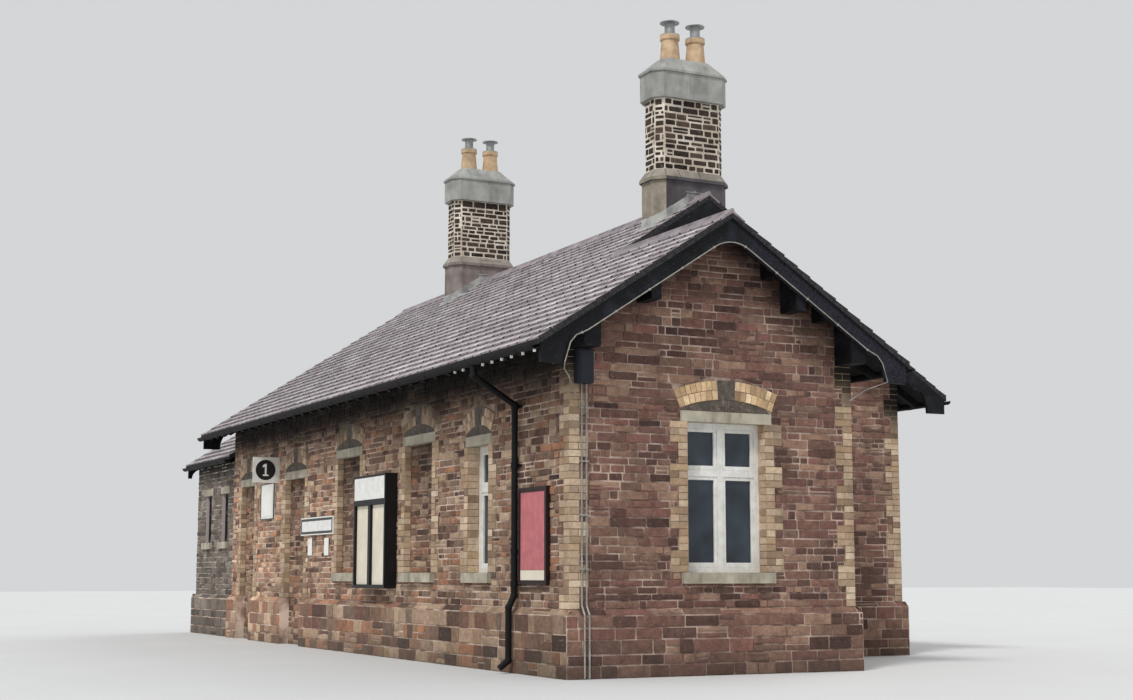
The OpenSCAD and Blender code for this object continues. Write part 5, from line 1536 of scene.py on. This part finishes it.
def make_service_box():
    """The lid of the wall box with two screws, and the two clipped conduits from it to the ground."""
    lo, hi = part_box("wall_box")
    plane = Plane((hi.x, (lo.y + hi.y) / 2, (lo.z + hi.z) / 2), (0, 1, 0))
    w, h, rim = (hi.y - lo.y) / 2, (hi.z - lo.z) / 2, 0.012
    box, pipe = Pile(170), Pile(171)
    box.sheet(plane, rect(-w + rim, -h + rim, w - rim, h - rim), proud=0.008, bevel=0.008)
    for b in (-h * 0.6, h * 0.6):
        box.turned(plane.moved(0.007), w - 0.035, b, [(0.009, 0), (0.009, 0.004), (0.006, 0.006)], 12)
    x, step_x = CONDUIT_X, X_NEAR + PLINTH_OUT + 0.022
    for y in (lo.y + 0.09, lo.y + 0.15):
        pipe.rod([(x, y, lo.z + 0.004), (x, y, PLINTH_TOP + 0.06), (x + 0.004, y, PLINTH_TOP + 0.035),
                  (step_x, y, PLINTH_TOP - CHAMFER + 0.01), (step_x, y, PLINTH_TOP - CHAMFER - 0.03),
                  (step_x, y, 0.01)], CONDUIT_R)
        for z in CONDUIT_CLIPS:
            pipe.block((X_NEAR, y - 0.026, z - 0.009), (x + 0.013, y + 0.026, z + 0.009), 0.002)
    box.piece("service_box_lid", "box_blue", "box_paint")
    pipe.piece("conduits", "conduit", "box_paint")


def lower_edge(outlines, y):
    """Lowest height of the outlines of a pair of boards at one place across the gable."""
    hits = []
    for outline in outlines:
        for (y0, z0), (y1, z1) in sides(outline):
            if min(y0, y1) <= y <= max(y0, y1) and abs(y1 - y0) > 1e-6:
                hits.append(z0 + (z1 - z0) * (y - y0) / (y1 - y0))
    return min(hits)


def verge_block(pile, y0, y1, z0):
    """A timber under the near verge, cut to the slope on top, between two distances from the ridge line."""
    ends = (X_NEAR, low("near_bargeboards").x)
    section = [(y0, z0), (y1, z0), (y1, GABLE_TOP - y1 * GRADE), (y0, GABLE_TOP - y0 * GRADE)]
    faces = [[3, 2, 1, 0], [4, 5, 6, 7]] + ring_faces(2, 4)
    for side in (-1, 1):
        points = [(x, Y_NEAR_RIDGE + side * y, z) for x in ends for y, z in section]
        pile.add(points, faces if side > 0 else [f[::-1] for f in faces])


# The near verge: where its boards end past the walls, its lower strip, its timbers and its cable
BOARD_PAST_WALL = 0.262
EDGE_STEPS = 61
FILLET_FOOT, FILLET_TOP = 0.001, 0.088
FILLET_BACK, FILLET_OUT = 0.002, 0.009
UPPER_TIMBER = (0.92, 1.05, 4.25)
LOWER_TIMBER = (1.7, Y_NEAR_RIDGE - Y_FRONT - 0.01, 3.665)
CABLE_R = 0.0072


def make_near_verge():
    """The fillet and the cable along the lower edge of the near boards, and the timbers behind them."""
    boards = [(p, o) for p, o in flat_faces("near_bargeboards", 0.1) if p.out.x > 0.9]
    outlines = [[(p.at(a, b).y, p.at(a, b).z) for a, b in o] for p, o in boards]
    start, end = Y_NEAR_BACK + BOARD_PAST_WALL, Y_FRONT - BOARD_PAST_WALL
    places = [start + (end - start) * i / EDGE_STEPS for i in range(EDGE_STEPS + 1)]
    edge = [(y, lower_edge(outlines, y)) for y in places]
    fillet = Pile(174)
    rises = (FILLET_FOOT, FILLET_TOP)
    x0, x1 = VERGE_NEAR_BOARD - FILLET_BACK, VERGE_NEAR_BOARD + FILLET_OUT
    for (ya, za), (yb, zb) in zip(edge, edge[1:]):
        section = [(ya, za + rises[0]), (yb, zb + rises[0]), (yb, zb + rises[1]), (ya, za + rises[1])]
        points = [(x, y, z) for x in (x0, x1) for y, z in section]
        fillet.add(points, [[0, 1, 5, 4], [2, 3, 7, 6], [4, 5, 6, 7]], tone=0.5)
    points = [(x, y, z + rise) for y, z in (edge[0], edge[-1]) for x in (x0, x1) for rise in rises]
    fillet.add(points, [[0, 1, 3, 2], [4, 6, 7, 5]], tone=0.5)
    fillet.piece("board_fillet", "near_board", "black_wood")

    timbers = Pile(175)
    verge_block(timbers, *UPPER_TIMBER)
    verge_block(timbers, *LOWER_TIMBER)
    timbers.piece("verge_timbers", "black_wood", "black_wood")

    x = x1 + 0.007
    first, foot = edge[0][1], edge[-1][1]
    path = [(X_NEAR + 0.02, Y_NEAR_BACK - 0.03, first - 0.2),
            (X_NEAR + 0.15, Y_NEAR_BACK + 0.12, first - 0.07)]
    path += [(x, y, z + 0.01) for y, z in edge]
    path += [(VERGE_NEAR_BOARD - 0.1, Y_FRONT - 0.21, foot - 0.05),
             (X_NEAR + 0.16, Y_FRONT - 0.09, foot - 0.1),
             (CONDUIT_X, Y_FRONT + 0.012, foot - 0.16), (CONDUIT_X, Y_FRONT + 0.02, foot - 0.24),
             (CONDUIT_X + 0.016, low("wall_box").y + 0.01, foot - 0.28)]
    cable = Pile(172)
    cable.rod(path, CABLE_R, 8)
    for y, z in edge[4::6]:
        cable.block((VERGE_NEAR_BOARD, y - 0.012, z - 0.002), (x + 0.009, y + 0.012, z + 0.022), 0.002)
    cable.piece("gable_cable", "conduit", "box_paint")


def make_eave_clips():
    """Small white clips in an uneven row under the near end of the front gutter."""
    lo, hi = min(loose_boxes("gutters"), key=lambda b: b[0].y)
    clips = Pile(173)
    y = (lo.y + hi.y) / 2
    x, last = hi.x - 0.03, hi.x - 2.3
    while x > last:
        clips.block((x - 0.012, y - 0.014, lo.z - 0.03), (x + 0.012, y + 0.014, lo.z + 0.004), 0.003)
        x -= clips.rnd.uniform(0.23, 0.33)
    clips.piece("eave_clips", "sign_white", "sign_plate")


# The camera stands where the photograph was taken, and is turned and zoomed to hold the building

CAMERA_PAST_GABLE = 16.73
CAMERA_OFF_WALL = 8.37
CAMERA_HEIGHT = 1.15
PHOTO_SIZE = (1133, 700)
MARGIN = 1.06
SENSOR_MM = 36
CLIP_END = 400
AIM_ROUNDS = 12


def make_camera():
    eye = Vector((X_NEAR + CAMERA_PAST_GABLE, Y_FRONT - CAMERA_OFF_WALL, CAMERA_HEIGHT))
    corners = [nodes[n].matrix_world @ v.co for n in nodes for v in nodes[n].data.vertices]
    aim = (corners[0] - eye).normalized()
    for _ in range(AIM_ROUNDS):
        turn = aim.to_track_quat("-Z", "Y")
        seen = [turn.inverted() @ (c - eye) for c in corners]
        a0, b0, a1, b1 = extent([(p.x / -p.z, p.y / -p.z) for p in seen])
        aim = (turn @ Vector(((a0 + a1) / 2, (b0 + b1) / 2, -1))).normalized()
    half = max((a1 - a0) / 2, (b1 - b0) / 2 * PHOTO_SIZE[0] / PHOTO_SIZE[1]) * MARGIN
    data = bpy.data.cameras.new("camera")
    data.sensor_width = SENSOR_MM
    data.lens = SENSOR_MM / 2 / half
    data.clip_end = CLIP_END
    camera = bpy.data.objects.new("camera", data)
    camera.location = eye
    camera.rotation_mode = "QUATERNION"
    camera.rotation_quaternion = aim.to_track_quat("-Z", "Y")
    bpy.context.scene.collection.objects.link(camera)
    bpy.context.scene.camera = camera


def make_floor():
    half = 90
    mesh = bpy.data.meshes.new("floor")
    mesh.from_pydata([(a, b, 0) for a, b in rect(-half, -half, half, half)], [], [(0, 1, 2, 3)])
    s = Shade("studio_floor", roughness=0.9)
    grey = s.tones(s.noise(0.4, 2), 0.2, 0.8, (206, 206, 204), (212, 212, 210))
    mesh.materials.append(s.finish(grey))
    floor = bpy.data.objects.new("floor", mesh)
    bpy.context.scene.collection.objects.link(floor)


def make_world():
    """A soft sky that lights the building, and a plain grey where the camera looks past it."""
    world = bpy.data.worlds.new("studio")
    world.use_nodes = True
    tree = world.node_tree
    light, backdrop = tree.nodes["Background"], tree.nodes.new("ShaderNodeBackground")
    for background, colour, strength in ((light, (0.93, 0.95, 1.0, 1), 0.62),
                                         (backdrop, (0.66, 0.67, 0.68, 1), 1.0)):
        background.inputs["Color"].default_value = colour
        background.inputs["Strength"].default_value = strength
    path = tree.nodes.new("ShaderNodeLightPath")
    shows = path.outputs["Is Camera Ray"]
    for kind in ("Is Glossy Ray", "Is Transmission Ray"):
        either = tree.nodes.new("ShaderNodeMath")
        either.operation = "MAXIMUM"
        tree.links.new(shows, either.inputs[0])
        tree.links.new(path.outputs[kind], either.inputs[1])
        shows = either.outputs[0]
    mix = tree.nodes.new("ShaderNodeMixShader")
    tree.links.new(shows, mix.inputs["Fac"])
    tree.links.new(light.outputs[0], mix.inputs[1])
    tree.links.new(backdrop.outputs[0], mix.inputs[2])
    tree.links.new(mix.outputs[0], tree.nodes["World Output"].inputs["Surface"])
    bpy.context.scene.world = world


def make_sun(name, azimuth, elevation, energy, spread):
    data = bpy.data.lights.new(name, "SUN")
    data.energy = energy
    data.angle = math.radians(spread)
    lamp = bpy.data.objects.new(name, data)
    a, e = math.radians(azimuth), math.radians(elevation)
    back = Vector((math.sin(a) * math.cos(e), -math.cos(a) * math.cos(e), math.sin(e)))
    lamp.rotation_mode = "QUATERNION"
    lamp.rotation_quaternion = (-back).to_track_quat("-Z", "Y")
    bpy.context.scene.collection.objects.link(lamp)


make_camera()
make_floor()
make_world()
make_sun("key", azimuth=35, elevation=50, energy=1.9, spread=12)
make_sun("fill", azimuth=200, elevation=38, energy=0.7, spread=40)
bpy.context.scene.view_settings.view_transform = "Standard"
make_walls()
make_plinth()
make_infill()
make_dressings()
make_slates()
make_chimney("near", 101)
make_chimney("far", 111)
make_lead()
make_ridge()
make_ironwork()
make_sashes()
make_rear_door()
make_poster()
make_notice_board()
make_signs()
make_service_box()
make_near_verge()
make_eave_clips()
